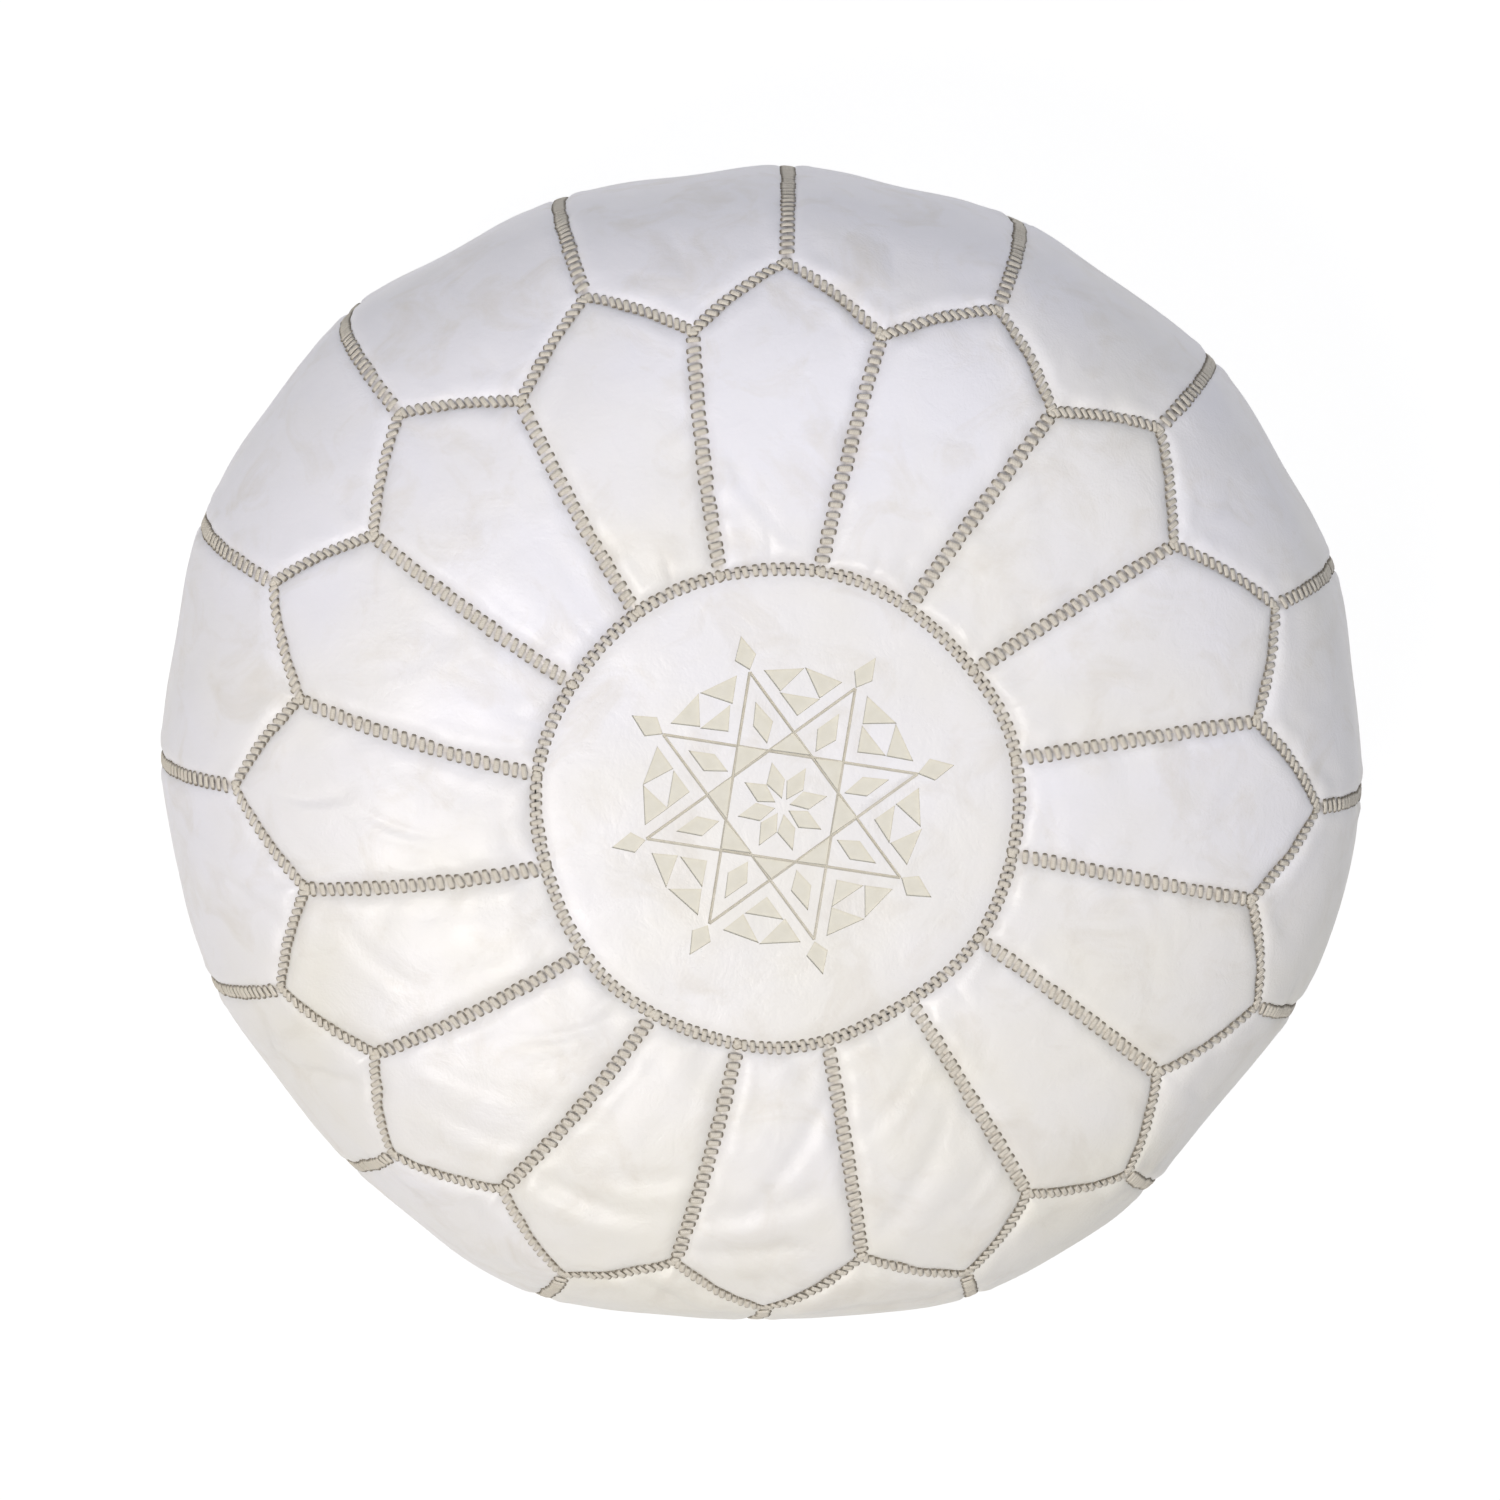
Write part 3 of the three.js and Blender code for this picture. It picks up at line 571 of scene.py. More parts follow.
def mesh_place(tree):
    return add(tree, "ShaderNodeTexCoord", {}).outputs["Object"]


def attribute(tree, name):
    return add(tree, "ShaderNodeAttribute", {}, attribute_name=name).outputs["Fac"]


def lumps(tree, where, scale, detail, **more):
    """Noise with about this many lumps to the metre."""
    inputs = {"Vector": where, "Scale": scale, "Detail": detail, **more}
    return add(tree, "ShaderNodeTexNoise", inputs).outputs["Fac"]


def maths(tree, operation, *values, **settings):
    return add(tree, "ShaderNodeMath", dict(enumerate(values)), operation=operation, **settings).outputs[0]


def mapped(tree, value, start, end, first, last, how="LINEAR"):
    """Map a value's stretch from start to end onto one from first to last."""
    return add(tree, "ShaderNodeMapRange", {0: value, 1: start, 2: end, 3: first, 4: last},
               interpolation_type=how).outputs[0]


def mix(tree, amount, one, other):
    """A colour between two others, of which the first may be another node's."""
    first = linear(one) if isinstance(one, str) else one
    return add(tree, "ShaderNodeMix", {0: amount, 6: first, 7: linear(other)}, data_type="RGBA").outputs[2]


def bump(tree, height, strength, distance, under=None, **settings):
    """Raise and lower the surface by a height, on top of another bump if there is one under it."""
    inputs = {"Height": height, "Strength": strength, "Distance": distance}
    if under:
        inputs["Normal"] = under
    return add(tree, "ShaderNodeBump", inputs, **settings).outputs[0]


def put_on(tree, shader):
    add(tree, "ShaderNodeOutputMaterial", {"Surface": shader.outputs[0]})


def plain_surface(tree, colour, roughness, normal, **more):
    put_on(tree, add(tree, "ShaderNodeBsdfPrincipled",
                     {"Base Color": colour, "Roughness": roughness, "Normal": normal, **more}))


# %% [markdown]
# ### White goat leather
# Goat skin is drum-dyed white and lightly waxed, so it is a little glossy but never shiny. Close up it has
# a fine pebbled grain, about a millimetre from pebble to pebble, and over a hand's width its white
# drifts between cool and ivory. Dirt gathers in the seams, and their shade is painted in with it.


# %% White goat leather
def goat_leather():
    leather, tree = new_material("white_goat_leather")
    where = mesh_place(tree)
    # Whole panels differ, since each is cut from another part of a skin, and each skin drifts as well.
    drifted = maths(tree, "SUBTRACT", lumps(tree, where, 14, 3, Roughness=0.55), 0.5)
    tone = maths(tree, "MULTIPLY_ADD", drifted, 1.3, attribute(tree, "warmth"), use_clamp=True)
    white = mix(tree, tone, "#f3f2f7", "#f1eee4")
    # Thin places let the flesh side show through as faint fawn clouds with veins, 20 to 40 mm across.
    thin = mapped(tree, lumps(tree, where, 34, 6, Roughness=0.62, Distortion=0.8), 0.5, 0.78, 0.0, 0.5)
    clouded = mix(tree, thin, white, "#ddd6c9")
    # A grey line beside each seam: dirt that the thread holds, and painted shade in the seam's valley.
    near_seam = mapped(tree, attribute(tree, "seam"), 0.0, 3.4, 0.9, 0.0, "SMOOTHSTEP")
    dirt_and_seam_shade = maths(tree, "MULTIPLY", near_seam, lumps(tree, where, 90, 2))
    soiled_and_shaded = mix(tree, dirt_and_seam_shade, clouded, "#b5ab98")
    # Pebbled grain 1.1 mm apart, over creases a few millimetres wide.
    creases = lumps(tree, where, 60, 6, Roughness=0.65, Distortion=0.5)
    pebbles = add(tree, "ShaderNodeTexVoronoi", {"Vector": where, "Scale": 900}, feature="SMOOTH_F1")
    soft = bump(tree, creases, 0.8, 0.0009)
    grain = bump(tree, pebbles.outputs["Distance"], 0.4, 0.00014, soft, invert=True)
    gloss = mapped(tree, creases, 0.3, 0.7, 0.36, 0.52)
    plain_surface(tree, soiled_and_shaded, gloss, grain, **{"IOR": 1.5, "Coat Weight": 0.12, "Coat Roughness": 0.3})
    return leather


def write_warmth(piece, own=0.0):
    """0 is a cool white and 1 an ivory one. The leather is warmer towards -Y, and a little towards +X."""
    x, y = read_points(piece)[:, :2].T
    write_attribute(piece, "warmth", np.clip(0.45 + 0.6 * x - 2.2 * y + own, 0, 1))


white_leather = goat_leather()

# %% [markdown]
# ### Thread, suede, cotton and brass
# The thread is thick waxed cotton, taupe, and painted darker towards its ends for the shade where it dives
# into a needle hole. Suede is the rough inner face of the skin, matte and a little patchy. The liner is
# plain cotton and the zip is brass on a woven tape.


# %% Waxed cotton thread
def waxed_thread():
    thread, tree = new_material("waxed_cotton_thread")
    where = mesh_place(tree)
    # Painted shade: the thread is darkened towards both ends, where it goes into the shadow of a needle hole.
    hole_shade = mapped(tree, attribute(tree, "stitch_end"), 0.5, 0.88, 0.0, 0.95, "SMOOTHSTEP")
    taupe = mix(tree, lumps(tree, where, 160, 3), "#ede7da", "#d9d1c1")
    # Three plies laid round each other show as a slanting ridge, here drawn a little coarser than life, and
    # the groove between them is darkened with painted shade.
    plies = maths(tree, "SINE", maths(tree, "MULTIPLY", attribute(tree, "twist"), 3 * math.tau))
    plies_with_groove_shade = mix(tree, mapped(tree, plies, -1.0, 0.2, 0.25, 0.0), taupe, "#b3aa98")
    shaded = mix(tree, hole_shade, plies_with_groove_shade, "#6e6555")
    fibres = bump(tree, lumps(tree, where, 1600, 2), 0.5, 0.0002, bump(tree, plies, 0.5, 0.00015))
    plain_surface(tree, shaded, 0.68, fibres, **{"Sheen Weight": 0.1})
    return thread


# %% Suede
def suede():
    nap, tree = new_material("beige_suede")
    brushed = lumps(tree, mesh_place(tree), 220, 4)
    beige = mix(tree, brushed, "#ece9dd", "#dedacb")
    plain_surface(tree, beige, 0.95, bump(tree, brushed, 0.4, 0.0002), **{"Sheen Weight": 0.3})
    return nap


# %% Plain-woven cotton
def woven_cotton(name, light, dark, threads_apart):
    """Warp and weft as two crossed waves, threads_apart in millimetres."""
    cloth, tree = new_material(name)
    waves_to_the_metre = {"Vector": mesh_place(tree), "Scale": math.tau / (threads_apart * MM) / 20}
    warp, weft = (add(tree, "ShaderNodeTexWave", waves_to_the_metre, bands_direction=way).outputs["Fac"]
                  for way in "XY")
    weave = maths(tree, "MULTIPLY", warp, weft)
    # Where the weave dips between threads it gets the dark colour: painted shade.
    plain_surface(tree, mix(tree, weave, dark, light), 0.9, bump(tree, weave, 0.4, 0.0003))
    return cloth


# %% Brass
def satin_brass():
    brass, tree = new_material("satin_brass")
    rubbed = lumps(tree, mesh_place(tree), 700, 3)
    wear = mapped(tree, rubbed, 0.3, 0.7, 0.25, 0.42)
    put_on(tree, add(tree, "ShaderNodeBsdfPrincipled", {
        "Base Color": mix(tree, rubbed, "#b8964f", "#8f733b"), "Metallic": 1.0, "Roughness": wear,
    }))
    return brass


thread_material, suede_material, brass_material = waxed_thread(), suede(), satin_brass()
tape_material = woven_cotton("herringbone_zip_tape", "#d9d3c4", "#b9b19e", 1.2)
liner_material = woven_cotton("calico_liner", "#e9e2d2", "#cfc6b2", 0.8)
filling_material = woven_cotton("cotton_wadding", "#f3efe6", "#ddd6c8", 6)
print("materials:", ", ".join(m.name for m in (white_leather, thread_material, suede_material)))

# %% [markdown]
# ## Parting the cover into its panels
# The stuffed cover comes apart along its seams into the panels it was sewn from, each its own piece of
# leather with a thickness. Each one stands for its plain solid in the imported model.

# %% Panels
THICKNESS = 1.5

with editing(cover):
    bpy.ops.mesh.separate(type="MATERIAL")


def make_leather(piece, node):
    """Give a shaped panel its thickness and finish, and say which node it stands for."""
    piece.name = node + "_leather"
    piece.data.materials.clear()
    piece.data.materials.append(white_leather)
    piece.vertex_groups.clear()
    finish_with(piece, "SOLIDIFY", thickness=THICKNESS * MM, offset=-1)
    hand_over(piece, node, smooth_to=50)


skins = np.random.default_rng(4)
own_warmth = {node: skins.normal() * 0.13 for node in sorted(cut_area)}
for piece in list(bpy.context.selected_objects):
    node = piece.data.materials[0].name
    write_warmth(piece, own_warmth[node])
    make_leather(piece, node)
print("panels parted")

# %% [markdown]
# ## The medallion
# The medallion is a disc of leather with an eight-pointed star cut out of it, so that beige suede shows
# through. The star is eight straight lines, each from one point to the third next. The lines themselves
# are scored into the leather, and the cells between them are cut out. A cutter for each cell is modelled
# once, copied round, and subtracted with a Boolean.

# %% The disc
STAR_CENTRE = (2.0, 1.5)
STAR_TURN = math.radians(-13.4)
STAR_RADIUS, STAR_POINTS = 60, 8
STAR_STEP = math.tau / STAR_POINTS
TOP_LEATHER = 0.9
SUEDE_RADIUS, SUEDE_THICKNESS, SUEDE_GAP = 84, 0.8, 0.15
ABOVE_TOP = 0.6  # how far a cutter stands out of the leather
KNIFE_WANDER = 0.28


def ringed_disc(name, radius, rings, corners, z):
    """A disc made of one face, inset again and again into rings."""
    disc = shape(bpy.ops.mesh.primitive_circle_add, vertices=corners, radius=radius * MM, fill_type="NGON",
                 location=(0, 0, z * MM))
    disc.name = name
    with editing(disc):
        for _ in range(rings):
            bpy.ops.mesh.inset(thickness=radius * MM / (rings + 1))
        bpy.ops.mesh.poke()
    return settle(disc)


medallion = ringed_disc("top_medallion_leather", RING, 26, 96, HEIGHT)
finish_with(medallion, "SOLIDIFY", thickness=TOP_LEATHER * MM, offset=-1)
print("the disc has", len(medallion.data.polygons), "faces")


# %% [markdown]
# Each cutter is a flat outline pushed up into a block, a little wider at the top, so that the cut's edge
# slopes and shows. A cell's outline is a triangle or a diamond between the star's lines.


# %% Cutters
def star_spot(radius, angle):
    turned = angle + STAR_TURN
    return (STAR_CENTRE[0] + radius * math.sin(turned), STAR_CENTRE[1] + radius * math.cos(turned))


def cutter(outline, depth, flare):
    """A block through the leather with this outline in millimetres, wider at the top by flare."""
    block = shape(bpy.ops.mesh.primitive_circle_add, vertices=len(outline), radius=0.01, fill_type="NGON")
    for vertex, (x, y) in zip(block.data.vertices, outline):
        vertex.co = (x * MM, y * MM, (HEIGHT - depth) * MM)
    centre = [sum(c) / len(outline) * MM for c in zip(*outline)]
    with editing(block):
        bpy.ops.mesh.extrude_region_move(TRANSFORM_OT_translate={"value": (0, 0, (depth + ABOVE_TOP) * MM)})
        bpy.ops.transform.resize(value=(flare, flare, 1), center_override=(*centre, HEIGHT * MM))
        bpy.ops.mesh.select_all(action="SELECT")
        bpy.ops.mesh.normals_make_consistent(inside=False)
    return block


def drawn_in(outline, kept):
    """An outline shrunk towards its middle."""
    middle_x, middle_y = (sum(c) / len(outline) for c in zip(*outline))
    return [(middle_x + (x - middle_x) * kept, middle_y + (y - middle_y) * kept) for x, y in outline]


def diamond(start, widest, end, width, angle):
    """A diamond on the line from the star's centre at this angle."""
    spread = math.atan2(width / 2, widest)
    return [star_spot(start, angle), star_spot(widest, angle + spread),
            star_spot(end, angle), star_spot(widest, angle - spread)]


by_hand = np.random.default_rng(21)


def cut_by_hand(outline, kept=0.95):
    """Draw a cell in from its lines by a hair and let the knife wander, as a hand does."""
    wander = by_hand.normal(size=(len(outline), 2)) * KNIFE_WANDER
    return [(x + dx, y + dy) for (x, y), (dx, dy) in zip(drawn_in(outline, kept), wander)]


line_distance = STAR_RADIUS * math.cos(1.5 * STAR_STEP)  # from the centre to each of the star's lines
octagon = line_distance / math.cos(STAR_STEP / 2)
crossing = line_distance / math.cos(math.pi / 4)
fan_distance = line_distance + 5.2
fan_spread = math.acos(fan_distance / STAR_RADIUS) - math.pi / 4
cuts = []
for k in range(STAR_POINTS):
    point = k * STAR_STEP
    mid = point + STAR_STEP / 2
    cuts.append(cut_by_hand(diamond(60.5, 66.5, 76, 9.5, point), 1))
    cuts.append(cut_by_hand(diamond(28, 37, 47, 9, point), 1))
    cuts.append(cut_by_hand(diamond(3.2, 11.5, 19.5, 8.6, point), 1))
    cuts.append(cut_by_hand([star_spot(octagon, mid - STAR_STEP / 2), star_spot(octagon, mid + STAR_STEP / 2),
                             star_spot(crossing, mid)], 0.92))
    apex, outer = star_spot(fan_distance * math.sqrt(2), mid), star_spot(STAR_RADIUS + 1, mid)
    corners = [star_spot(STAR_RADIUS, mid + side * fan_spread) for side in (-1, 1)]
    mids = [((x + apex[0]) / 2, (y + apex[1]) / 2) for x, y in corners]
    cuts.append(cut_by_hand([apex, mids[0], mids[1]]))
    for side in (0, 1):
        cuts.append(cut_by_hand([outer, corners[side], mids[side]]))
cutters = [cutter(outline, TOP_LEATHER + 0.5, 1.04) for outline in cuts]
for block in cutters:
    block.data.materials.append(suede_material)


# %% [markdown]
# A scored line is a long thin wedge, sunk most of the way into the leather. Its faces carry a colour of
# their own, and the Boolean hands that on to the groove. Scoring cuts through the white surface, and the
# groove's darker beige also holds its painted shade.


# %% Scored lines
groove_tone_and_shade, groove_tree = new_material("scored_leather_groove")
# Darker beige in the groove: partly the leather under the white surface, partly painted shade.
groove_colour_and_shade = mix(groove_tree, lumps(groove_tree, mesh_place(groove_tree), 300, 3), "#e2ded2", "#cbc5b5")
put_on(groove_tree, add(groove_tree, "ShaderNodeBsdfPrincipled", {"Base Color": groove_colour_and_shade, "Roughness": 0.9}))


def scorer(start, end, width, depth):
    """A long wedge with its edge depth below the top: a four-sided cylinder lying on one edge."""
    (x0, y0), (x1, y1) = start, end
    run, way = math.hypot(x1 - x0, y1 - y0), math.atan2(y1 - y0, x1 - x0)
    return settle(shape(
        bpy.ops.mesh.primitive_cylinder_add, vertices=4, radius=width * MM, depth=run * MM,
        location=((x0 + x1) / 2 * MM, (y0 + y1) / 2 * MM, (HEIGHT + width - depth) * MM),
        rotation=(math.pi / 2, 0, way - math.pi / 2)))


for k in range(STAR_POINTS):
    first, last = (star_spot(STAR_RADIUS, n * math.tau / STAR_POINTS) for n in (k, k + 3))
    cutters.append(scorer(first, last, 1.15, 0.66))
    cutters[-1].data.materials.append(groove_tone_and_shade)
only(*cutters)
bpy.ops.object.join()
star = bpy.context.object
star.name = "star_cutter"
medallion.data.materials.append(white_leather)
finish_with(medallion, "BOOLEAN", object=star, operation="DIFFERENCE", solver="EXACT",
            material_mode="TRANSFER", use_self=True)
bpy.data.objects.remove(star)
print("the cut medallion has", len(medallion.data.polygons), "faces")

# %% [markdown]
# The leather crowns a little between the stitches that hold it, and drops into the seam round it.


# %% Shaping the medallion
def lay_on_top(piece):
    """Bend a flat disc to the top's crown, with a valley at its seam. Gives points' distances from it."""
    points = read_points(piece)
    angle, out = np.arctan2(points[:, 0], points[:, 1]), np.hypot(points[:, 0], points[:, 1]) / MM
    wider = waves(angle, RING_WAVE, 9) * share(out, RING_WAVE_FROM, RING) / np.maximum(out, 1)
    low = np.interp(np.minimum(out, RING), profile_length, profile_z) - HEIGHT
    swell = 1.5 * np.sqrt(np.clip(1 - (out / RING) ** 2, 0, 1))
    flat = np.column_stack([points[:, 0], points[:, 1], np.zeros(len(points))])
    uneven = 0.4 * cloudy(flat, 34, 9) + 0.25 * cloudy(flat, 11, 4) * np.exp(-((RING - out - 4) / 8) ** 2)
    valley = -SEAM_DEPTH * np.exp(-((RING - out) / SEAM_REACH) ** 2)
    points[:, :2] *= (1 + wider)[:, None]
    points[:, 2] += (low + swell + uneven + valley) * MM
    write_points(piece, points)
    return RING - out


write_attribute(medallion, "seam", lay_on_top(medallion))
write_warmth(medallion)
leather_faces.append((read_points(medallion), all_faces(medallion)))
hand_over(medallion, "top_medallion", smooth_to=35)

backing = ringed_disc("medallion_suede_disc", SUEDE_RADIUS, 20, 64, HEIGHT - TOP_LEATHER - SUEDE_GAP)
finish_with(backing, "SOLIDIFY", thickness=SUEDE_THICKNESS * MM, offset=-1)
lay_on_top(backing)
backing.data.materials.append(suede_material)
hand_over(backing, "medallion_suede", smooth_to=50)

# %% [markdown]
# ## The base
# Two half discs of the same leather close the bottom, with the zip between them. Under the pouf's weight
# they lie flat on the floor, so they swell nowhere, but the zip's edges are drawn up into a shallow
# groove where the metal can't scratch the floor.

# %% Base panels
ZIP_EDGE, GROOVE_EDGE, GROOVE_DEPTH = 7, 26, 9
base_rim = float(np.interp(BASE_RING, profile_length, profile_r))


def base_height(x, y):
    """Height of the base's leather over the floor, in millimetres."""
    rise = np.interp(np.hypot(x, y), profile_r[:PROFILE_STEPS:-1], profile_z[:PROFILE_STEPS:-1])
    return GROOVE_DEPTH + (rise - GROOVE_DEPTH) * smoothstep(np.abs(y), ZIP_EDGE, GROOVE_EDGE)


def cut_half_disc(node, side):
    """Half of the base. side is 1 towards +Y and -1 towards -Y."""
    half = shape(bpy.ops.mesh.primitive_grid_add, x_subdivisions=72, y_subdivisions=32, size=2)
    flat = read_points(half)
    swing = flat[:, 0] * math.acos(ZIP_EDGE / base_rim)
    x, edge = base_rim * np.sin(swing), base_rim * np.cos(swing)
    y = ZIP_EDGE + (edge - ZIP_EDGE) * crowded((flat[:, 1] + 1) / 2)
    from_seam = base_rim - np.hypot(x, y)
    spots = np.column_stack([x * MM, y * MM * side, np.zeros(len(x))])
    lift = (SEAM_DEPTH * np.exp(-(from_seam / SEAM_REACH) ** 2)
            + 0.7 * np.abs(cloudy(spots, 12, 1)) * np.exp(-(from_seam / 14) ** 2)
            + 0.5 * np.abs(cloudy(spots, 45, 5)))
    z = base_height(x, y) + np.maximum(lift, 0)
    write_points(half, np.column_stack([-side * x, side * y, z]) * MM)
    with editing(half):
        bpy.ops.mesh.remove_doubles(threshold=SEWN_WITHIN * MM)
    placed = read_points(half) / MM
    write_attribute(half, "seam", base_rim - np.hypot(placed[:, 0], placed[:, 1]))
    write_warmth(half)
    leather_faces.append((read_points(half), all_faces(half)))
    area = surface_area(half)
    make_leather(half, node)
    return area


for node, side in (("base_panel_back", 1), ("base_panel_front", -1)):
    print(node, f"{cut_half_disc(node, side) * 1e4:.0f} cm2")


# %% One surface for the needle
def joined_surface(parts):
    """All the leather as one surface to search, from each part's points and faces."""
    points, faces, start = [], [], 0
    for part_points, part_faces in parts:
        points.extend(Vector(p) for p in part_points)
        faces.extend(tuple(v + start for v in face) for face in part_faces)
        start += len(part_points)
    return BVHTree.FromPolygons(points, faces)


surface = joined_surface(leather_faces)

# %% [markdown]
# ## Stitches
# One stitch is a short bar of thread across a seam: a six-sided cylinder, flattened, with both ends bent
# down into their needle holes. It is modelled once. Every copy is then laid between two points of the
# leather, one on each side of the seam, so it follows the cover wherever the stuffing pushed it.

# %% One stitch
stitch = settle(shape(bpy.ops.mesh.primitive_cylinder_add, vertices=6, radius=0.5, depth=1,
                      rotation=(0, math.pi / 2, 0), end_fill_type="NGON"))
for cut in (-0.4, -0.2, 0.2, 0.4):
    with editing(stitch):
        bpy.ops.mesh.bisect(plane_co=(cut, 0, 0), plane_no=(1, 0, 0))
stitch_points = read_points(stitch)
stitch_end = np.abs(stitch_points[:, 0]) * 2
stitch_turn = np.arctan2(stitch_points[:, 1], stitch_points[:, 2]) / math.tau
stitch_faces = all_faces(stitch)
bpy.data.objects.remove(stitch)
print("a stitch has", len(stitch_faces), "faces")


# %% Across a seam
def across_seam(rows, seed):
    """rows: (start, end, pitch, length, width, slant in degrees) for each seam. Returns each stitch's two
    ends, its way out of the leather and its width, in metres."""
    random = np.random.default_rng(seed)
    laid = []
    for start, end, pitch, length, width, slant in rows:
        angles, lengths = seam_line(start, end, pitch)
        centres, ways = cover_point((angles[1:] + angles[:-1]) / 2, (lengths[1:] + lengths[:-1]) / 2)
        knots = cover_point(angles, lengths)[0]
        for centre, way, run in zip(centres, ways, knots[1:] - knots[:-1]):
            normal, run = Vector(way), Vector(run).normalized()
            lean = math.radians(slant + random.normal() * 4)
            side = (Matrix.Rotation(lean, 3, normal) @ normal.cross(run)).normalized()
            reach = length * (1 + random.normal() * 0.05) / 2 * MM
            centre = Vector(centre) + run * float(random.normal() * 0.15 * MM)
            one, two = (surface.find_nearest(centre + side * s * reach)[0] for s in (-1, 1))
            laid.append((one, two, normal, width * (1 + random.normal() * 0.06) * MM))
    return laid


# %% [markdown]
# All the stitches of one kind become a single mesh. Two numbers go with each point for the material: how
# near it is to the stitch's end, and how far round and along the thread it is, which gives the twist.


# %% Threads into one mesh
THREAD_FLATNESS, THREAD_DIVE, PLY_LAY = 0.62, 0.9, 2.4


def sew(name, laid, node=None):
    """One mesh of a stitch laid between each pair of ends."""
    dip = np.clip((stitch_end - 0.72) / 0.28, 0, 1)
    slim = np.where(stitch_end > 0.9, 0.72, 1.0)
    arch = 1 - stitch_end ** 2
    points, ends, twists = [], [], []
    for one, two, normal, width in laid:
        along = (two - one).normalized()
        up = (normal - along * normal.dot(along)).normalized()
        over = up.cross(along)
        size = (two - one).length
        local = stitch_points * (size, width, width * THREAD_FLATNESS)
        local[:, 1:] *= slim[:, None]
        local[:, 2] += (0.25 * arch - THREAD_DIVE * dip) * MM
        points.append(np.asarray((one + two) / 2) + local @ np.array([along, over, up]))
        ends.append(stitch_end)
        twists.append(stitch_points[:, 0] * size / MM / PLY_LAY + stitch_turn)
    starts = range(0, len(laid) * len(stitch_points), len(stitch_points))
    faces = [tuple(v + start for v in face) for start in starts for face in stitch_faces]
    piece = build(name, points, faces, thread_material)
    write_attribute(piece, "stitch_end", np.concatenate(ends))
    write_attribute(piece, "twist", np.concatenate(twists))
    hand_over(piece, node, smooth_to=60)
    print(name, len(laid), "stitches")


# %% Sewing the seams
ring_rows = [(*ends, 3.85, 6.0, 2.1, 8) for ends in seam_ends["ring"]]
petal_rows = [((a, RING + 3.5), (a, SHOULDER - 2), 4.1, 7.2, 2.2, 10) for a in between]
zigzag_rows = [(*ends, 3.5, 6.0, 2.1, 34) for ends in seam_ends["zigzag"]]
side_rows = [((a, TIP + 3), (a, BASE_RING - 4), 4.1, 7.6, 2.2, 10) for a in tips]
base_rows = [(*ends, 4.15, 6.4, 2.2, 6) for ends in seam_ends["base"]]


def tie_knots(spots, length, seed):
    """Where seams meet, the thread is made fast with three short stitches crossed over each other."""
    random = np.random.default_rng(seed)
    laid = []
    for angle, run in spots:
        centre, way = cover_point(angle, run)
        normal = Vector(way)
        across = normal.orthogonal().normalized()
        first = random.uniform(0, math.pi)
        for turn in (0.0, 1.1, 2.2):
            side = (Matrix.Rotation(first + turn + random.normal() * 0.2, 3, normal) @ across).normalized()
            reach = length * random.uniform(0.85, 1.1) / 2 * MM
            ends = [surface.find_nearest(Vector(centre) + side * s * reach)[0] for s in (-1, 1)]
            laid.append((*ends, normal, 2.0 * MM))
    return laid


ring_knots = tie_knots([(a, RING) for a in between], 4.6, 6)
corner_knots = tie_knots([(a, TIP) for a in tips] + [(a, SHOULDER) for a in between], 4.8, 7)
sew("petal_stitching_thread", across_seam(ring_rows + petal_rows, 1) + ring_knots, "petal_stitching")
sew("side_stitching_thread", across_seam(zigzag_rows + side_rows, 2) + corner_knots, "side_stitching")
sew("base_stitching_thread", across_seam(base_rows, 3), "base_stitching")

# %% [markdown]
# ## The zip
# A brass zip closes the base so that the filling can be changed. Its two woven tapes are sewn to the
# folded edges of the leather with a running stitch, and a row of brass teeth is clamped along each tape.
# One tooth is modelled, a small block whose head is narrower than its root, and copied down both tapes.

# %% Tapes
tape_low, tape_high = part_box("zip_tape_back")


def weave_tape(node, side):
    tape = shape(bpy.ops.mesh.primitive_grid_add, x_subdivisions=160, y_subdivisions=12, size=2)
    flat = read_points(tape)
    x = flat[:, 0] * tape_high.x
    y = tape_low.y + (flat[:, 1] + 1) / 2 * (tape_high.y - tape_low.y)
    middle_z = (tape_low.z + tape_high.z) / 2
    ripple = 0.15 * MM * np.sin(x / 0.021) * share(y / MM, 8, 16)
    write_points(tape, np.column_stack([x, side * y, middle_z + ripple]))
    if side < 0:
        with editing(tape):
            bpy.ops.mesh.flip_normals()
    finish_with(tape, "SOLIDIFY", thickness=0.7 * MM, offset=0)
    finish_with(tape, "BEVEL", width=0.2 * MM, segments=2, limit_method="ANGLE")
    tape.name = node + "_woven"
    tape.data.materials.append(tape_material)
    hand_over(tape, node, smooth_to=40)


for node, side in (("zip_tape_back", 1), ("zip_tape_front", -1)):
    weave_tape(node, side)
print(f"each tape is {2 * tape_high.x / MM:.0f} mm long")

# %% [markdown]
# The running stitch is made of the same bars as the seams, end to end along the fold.

# %% Running stitch
RUNNING_PITCH, RUNNING_IN, RUNNING_WIDTH = 3.6, 3.2, 0.9
laid = []
for side in (1, -1):
    for step in range(-66, 66):
        ends = []
        for shift in (0.22, 3.3):
            x, y = step * RUNNING_PITCH + shift, side * (ZIP_EDGE + RUNNING_IN)
            if math.hypot(x, y) < base_rim - 6:
                over = Vector((x * MM, y * MM, float(base_height(x, y)) * MM))
                ends.append(surface.find_nearest(over)[0])
        if len(ends) == 2:
            laid.append((*ends, Vector((0, 0, -1)), RUNNING_WIDTH * MM))
sew("zip_running_stitch", laid)

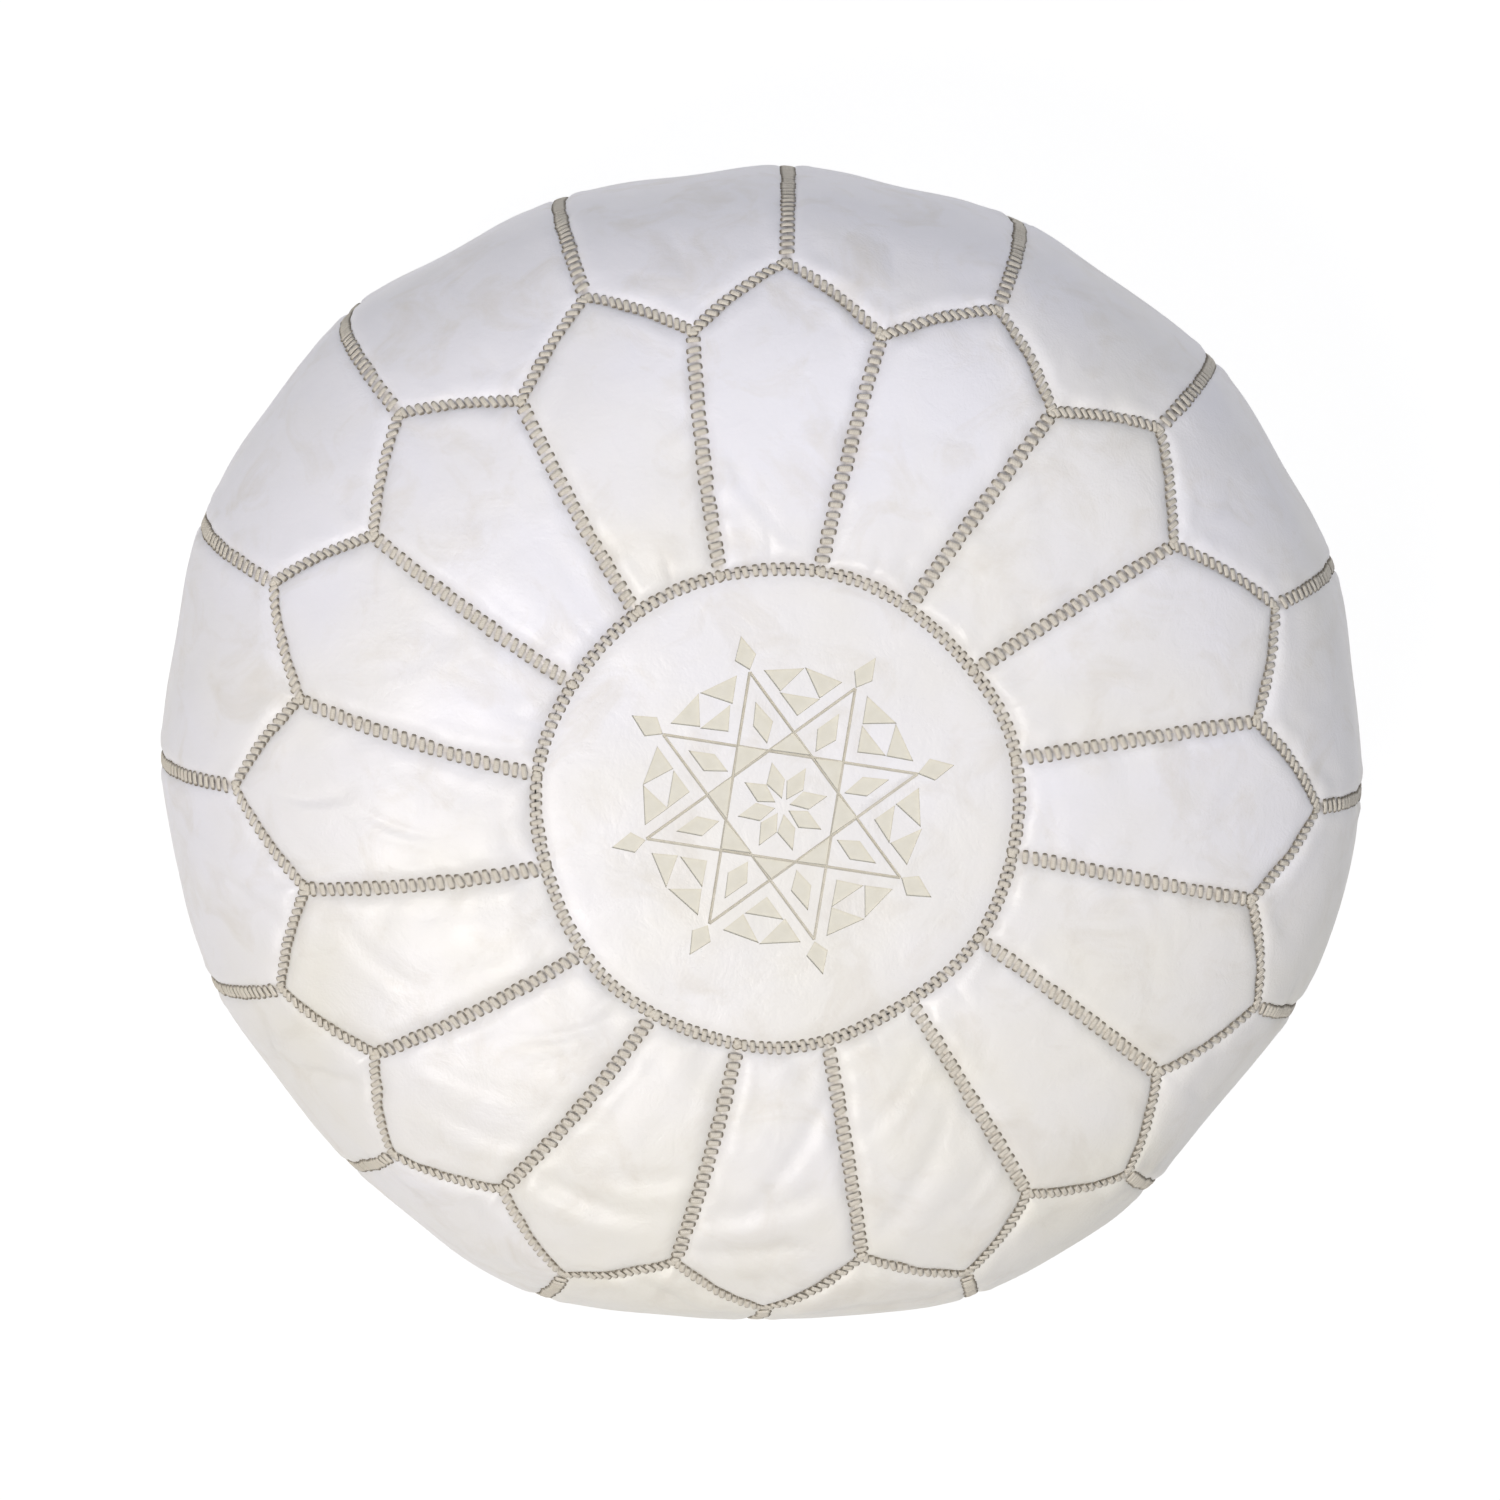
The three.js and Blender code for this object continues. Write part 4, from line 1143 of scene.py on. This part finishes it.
# %% Teeth
TOOTH_PITCH, TOOTH_LENGTH = 3.0, 1.5
teeth_low, teeth_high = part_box("zip_teeth_back")
tooth = shape(bpy.ops.mesh.primitive_cube_add, size=1)
tooth.dimensions = (TOOTH_LENGTH * MM, teeth_high.y - teeth_low.y, teeth_high.z - teeth_low.z)
settle(tooth)
bpy.ops.object.mode_set(mode="EDIT")
bpy.ops.mesh.select_all(action="DESELECT")
bpy.ops.object.mode_set(mode="OBJECT")
for face in tooth.data.polygons:
    face.select = face.normal.y < -0.9
bpy.ops.object.mode_set(mode="EDIT")
bpy.ops.transform.resize(value=(0.62, 1, 0.72))
bpy.ops.object.mode_set(mode="OBJECT")
finish_with(tooth, "BEVEL", width=0.22 * MM, segments=2)
tooth_points = read_points(tooth)
tooth_faces = all_faces(tooth)
bpy.data.objects.remove(tooth)


def clamp_teeth(node, side):
    """A row of teeth along one tape. The front row stands half a pitch on from the back one."""
    low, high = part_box(node)
    count = int((high.x - low.x) / (TOOTH_PITCH * MM))
    centre = (low + high) / 2
    points, faces = [], []
    for n in range(count):
        x = low.x + (n + (0.5 if side > 0 else 0.95)) * TOOTH_PITCH * MM
        if x + TOOTH_LENGTH / 2 * MM > high.x:
            continue
        spot = tooth_points * (1, side, 1) + np.array([x, centre.y, centre.z])
        faces.extend(tuple(v + len(points) * len(spot) for v in (face if side > 0 else face[::-1]))
                     for face in tooth_faces)
        points.append(spot)
    hand_over(build(node + "_brass", points, faces, brass_material), node, smooth_to=30)
    print(node, len(points), "teeth of", len(tooth_faces), "faces")


clamp_teeth("zip_teeth_back", 1)
clamp_teeth("zip_teeth_front", -1)

# %% [markdown]
# The slider, its pull and the end stops are small castings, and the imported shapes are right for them. A
# Weld modifier closes their loose triangles and a Bevel rounds the edges, as tumbling does after casting.

# %% Slider, pull and stops
for node in ("zip_slider", "zip_pull", "zip_top_stop_back", "zip_top_stop_front", "zip_bottom_stop"):
    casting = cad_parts[node]
    casting.modifiers.new("Weld", "WELD").merge_threshold = 0.02 * MM
    rounding = casting.modifiers.new("Bevel", "BEVEL")
    rounding.width, rounding.segments = 0.25 * MM, 2
    rounding.limit_method, rounding.angle_limit = "ANGLE", math.radians(50)
    casting.data.materials.clear()
    casting.data.materials.append(brass_material)

# %% [markdown]
# ## Inside
# A calico liner holds the cotton, and it is open over the zip. Nothing of either shows while the zip is
# shut. Each starts as a sphere whose points are laid on the cover's own profile, further in.


# %% Liner and filling
def inside_form(name, rings, segments, ease, groove_roof):
    """A closed form that lies ease millimetres in from the cover, and over the zip's groove."""
    form = shape(bpy.ops.mesh.primitive_uv_sphere_add, segments=segments, ring_count=rings, radius=1)
    form.name = name
    round_points = read_points(form)
    angle = np.arctan2(round_points[:, 0], round_points[:, 1])
    length = np.arccos(np.clip(round_points[:, 2], -1, 1)) / math.pi * profile_length[-1]
    points = cover_point(angle, length, -ease)[0]
    roof = groove_roof * (1 - share(np.abs(points[:, 1]) / MM, 27, 44)) * MM
    points[:, 2] = np.maximum(points[:, 2], roof)
    write_points(form, points)
    return form


liner = inside_form("calico_liner", 64, 96, 8.8, 16.6)
finish_with(liner, "SOLIDIFY", thickness=0.6 * MM, offset=-1)
slit = shape(bpy.ops.mesh.primitive_cube_add, size=1, location=(0, 0, 17 * MM))
slit.dimensions = (0.24, 0.03, 0.02)
settle(slit)
finish_with(liner, "BOOLEAN", object=slit, operation="DIFFERENCE", solver="EXACT")
bpy.data.objects.remove(slit)
liner.data.materials.append(liner_material)
hand_over(liner, "inner_liner")

filling = inside_form("cotton_filling", 72, 96, 11.6, 18.4)
packed = 1.4 * cloudy(read_points(filling), 30, 1) - 1.6
write_points(filling, read_points(filling) + read_normals(filling) * (packed * MM)[:, None])
filling.data.materials.append(filling_material)
hand_over(filling, "filling", smooth_to=60)

# %% [markdown]
# ## Floor and light
# A pale matt floor, one large soft light beside the camera and a weaker one opposite it, so that each
# seam keeps a faint shaded side. The sides of the pouf get their light mostly from the floor, which also
# glows a little itself wherever it is seen, as backlit studio paper does.

# %% Floor
floor = shape(bpy.ops.mesh.primitive_plane_add, size=12, location=(0, 0, -0.0005))
floor.name = "studio_floor"
paper, paper_tree = new_material("matt_white_paper")
sheet = add(paper_tree, "ShaderNodeBsdfPrincipled", {
    "Base Color": linear("#fbfbfb"), "Roughness": 0.9, "Specular IOR Level": 0.1,
    "Emission Color": linear("#ffffff"), "Emission Strength": 0.16,
})
glow = add(paper_tree, "ShaderNodeEmission", {"Color": linear("#ffffff"), "Strength": 1.06})
seen_paper = add(paper_tree, "ShaderNodeLightPath", {}).outputs["Is Camera Ray"]
put_on(paper_tree, add(paper_tree, "ShaderNodeMixShader", {
    0: maths(paper_tree, "MULTIPLY", seen_paper, 0.85), 1: sheet.outputs[0], 2: glow.outputs[0],
}))
floor.data.materials.append(paper)


# %% Lights
def soft_light(name, place, size, power, colour):
    """A round lamp in metres and watts, turned to the middle of the pouf."""
    lamp = bpy.data.lights.new(name, "AREA")
    lamp.shape, lamp.size = "DISK", size
    lamp.energy = power
    lamp.color = linear(colour)[:3]
    holder = bpy.data.objects.new(name, lamp)
    bpy.context.scene.collection.objects.link(holder)
    holder.location = place
    holder.rotation_euler = (middle - Vector(place)).to_track_quat("-Z", "Y").to_euler()


soft_light("key_light", (-0.9, -0.75, 3.0), 1.1, 50, "#fffaf5")
soft_light("fill_light", (0.6, 1.0, 3.0), 2.0, 24, "#f0f3ff")

# The room gives little light, so the pouf's sides stay soft grey, but its far wall looks pale.
world = bpy.data.worlds.new("studio_air")
world.use_nodes = True
room_tree = world.node_tree
room_tree.nodes.clear()
seen = add(room_tree, "ShaderNodeLightPath", {}).outputs["Is Camera Ray"]
room = add(room_tree, "ShaderNodeBackground", {"Color": linear("#f2f3f7"), "Strength": 0.24})
wall = add(room_tree, "ShaderNodeBackground", {"Color": linear("#f7f7f8"), "Strength": 0.92})
air = add(room_tree, "ShaderNodeMixShader", {0: seen, 1: room.outputs[0], 2: wall.outputs[0]})
add(room_tree, "ShaderNodeOutputWorld", {"Surface": air.outputs[0]})
bpy.context.scene.world = world
bpy.context.scene.view_settings.view_transform = "Standard"
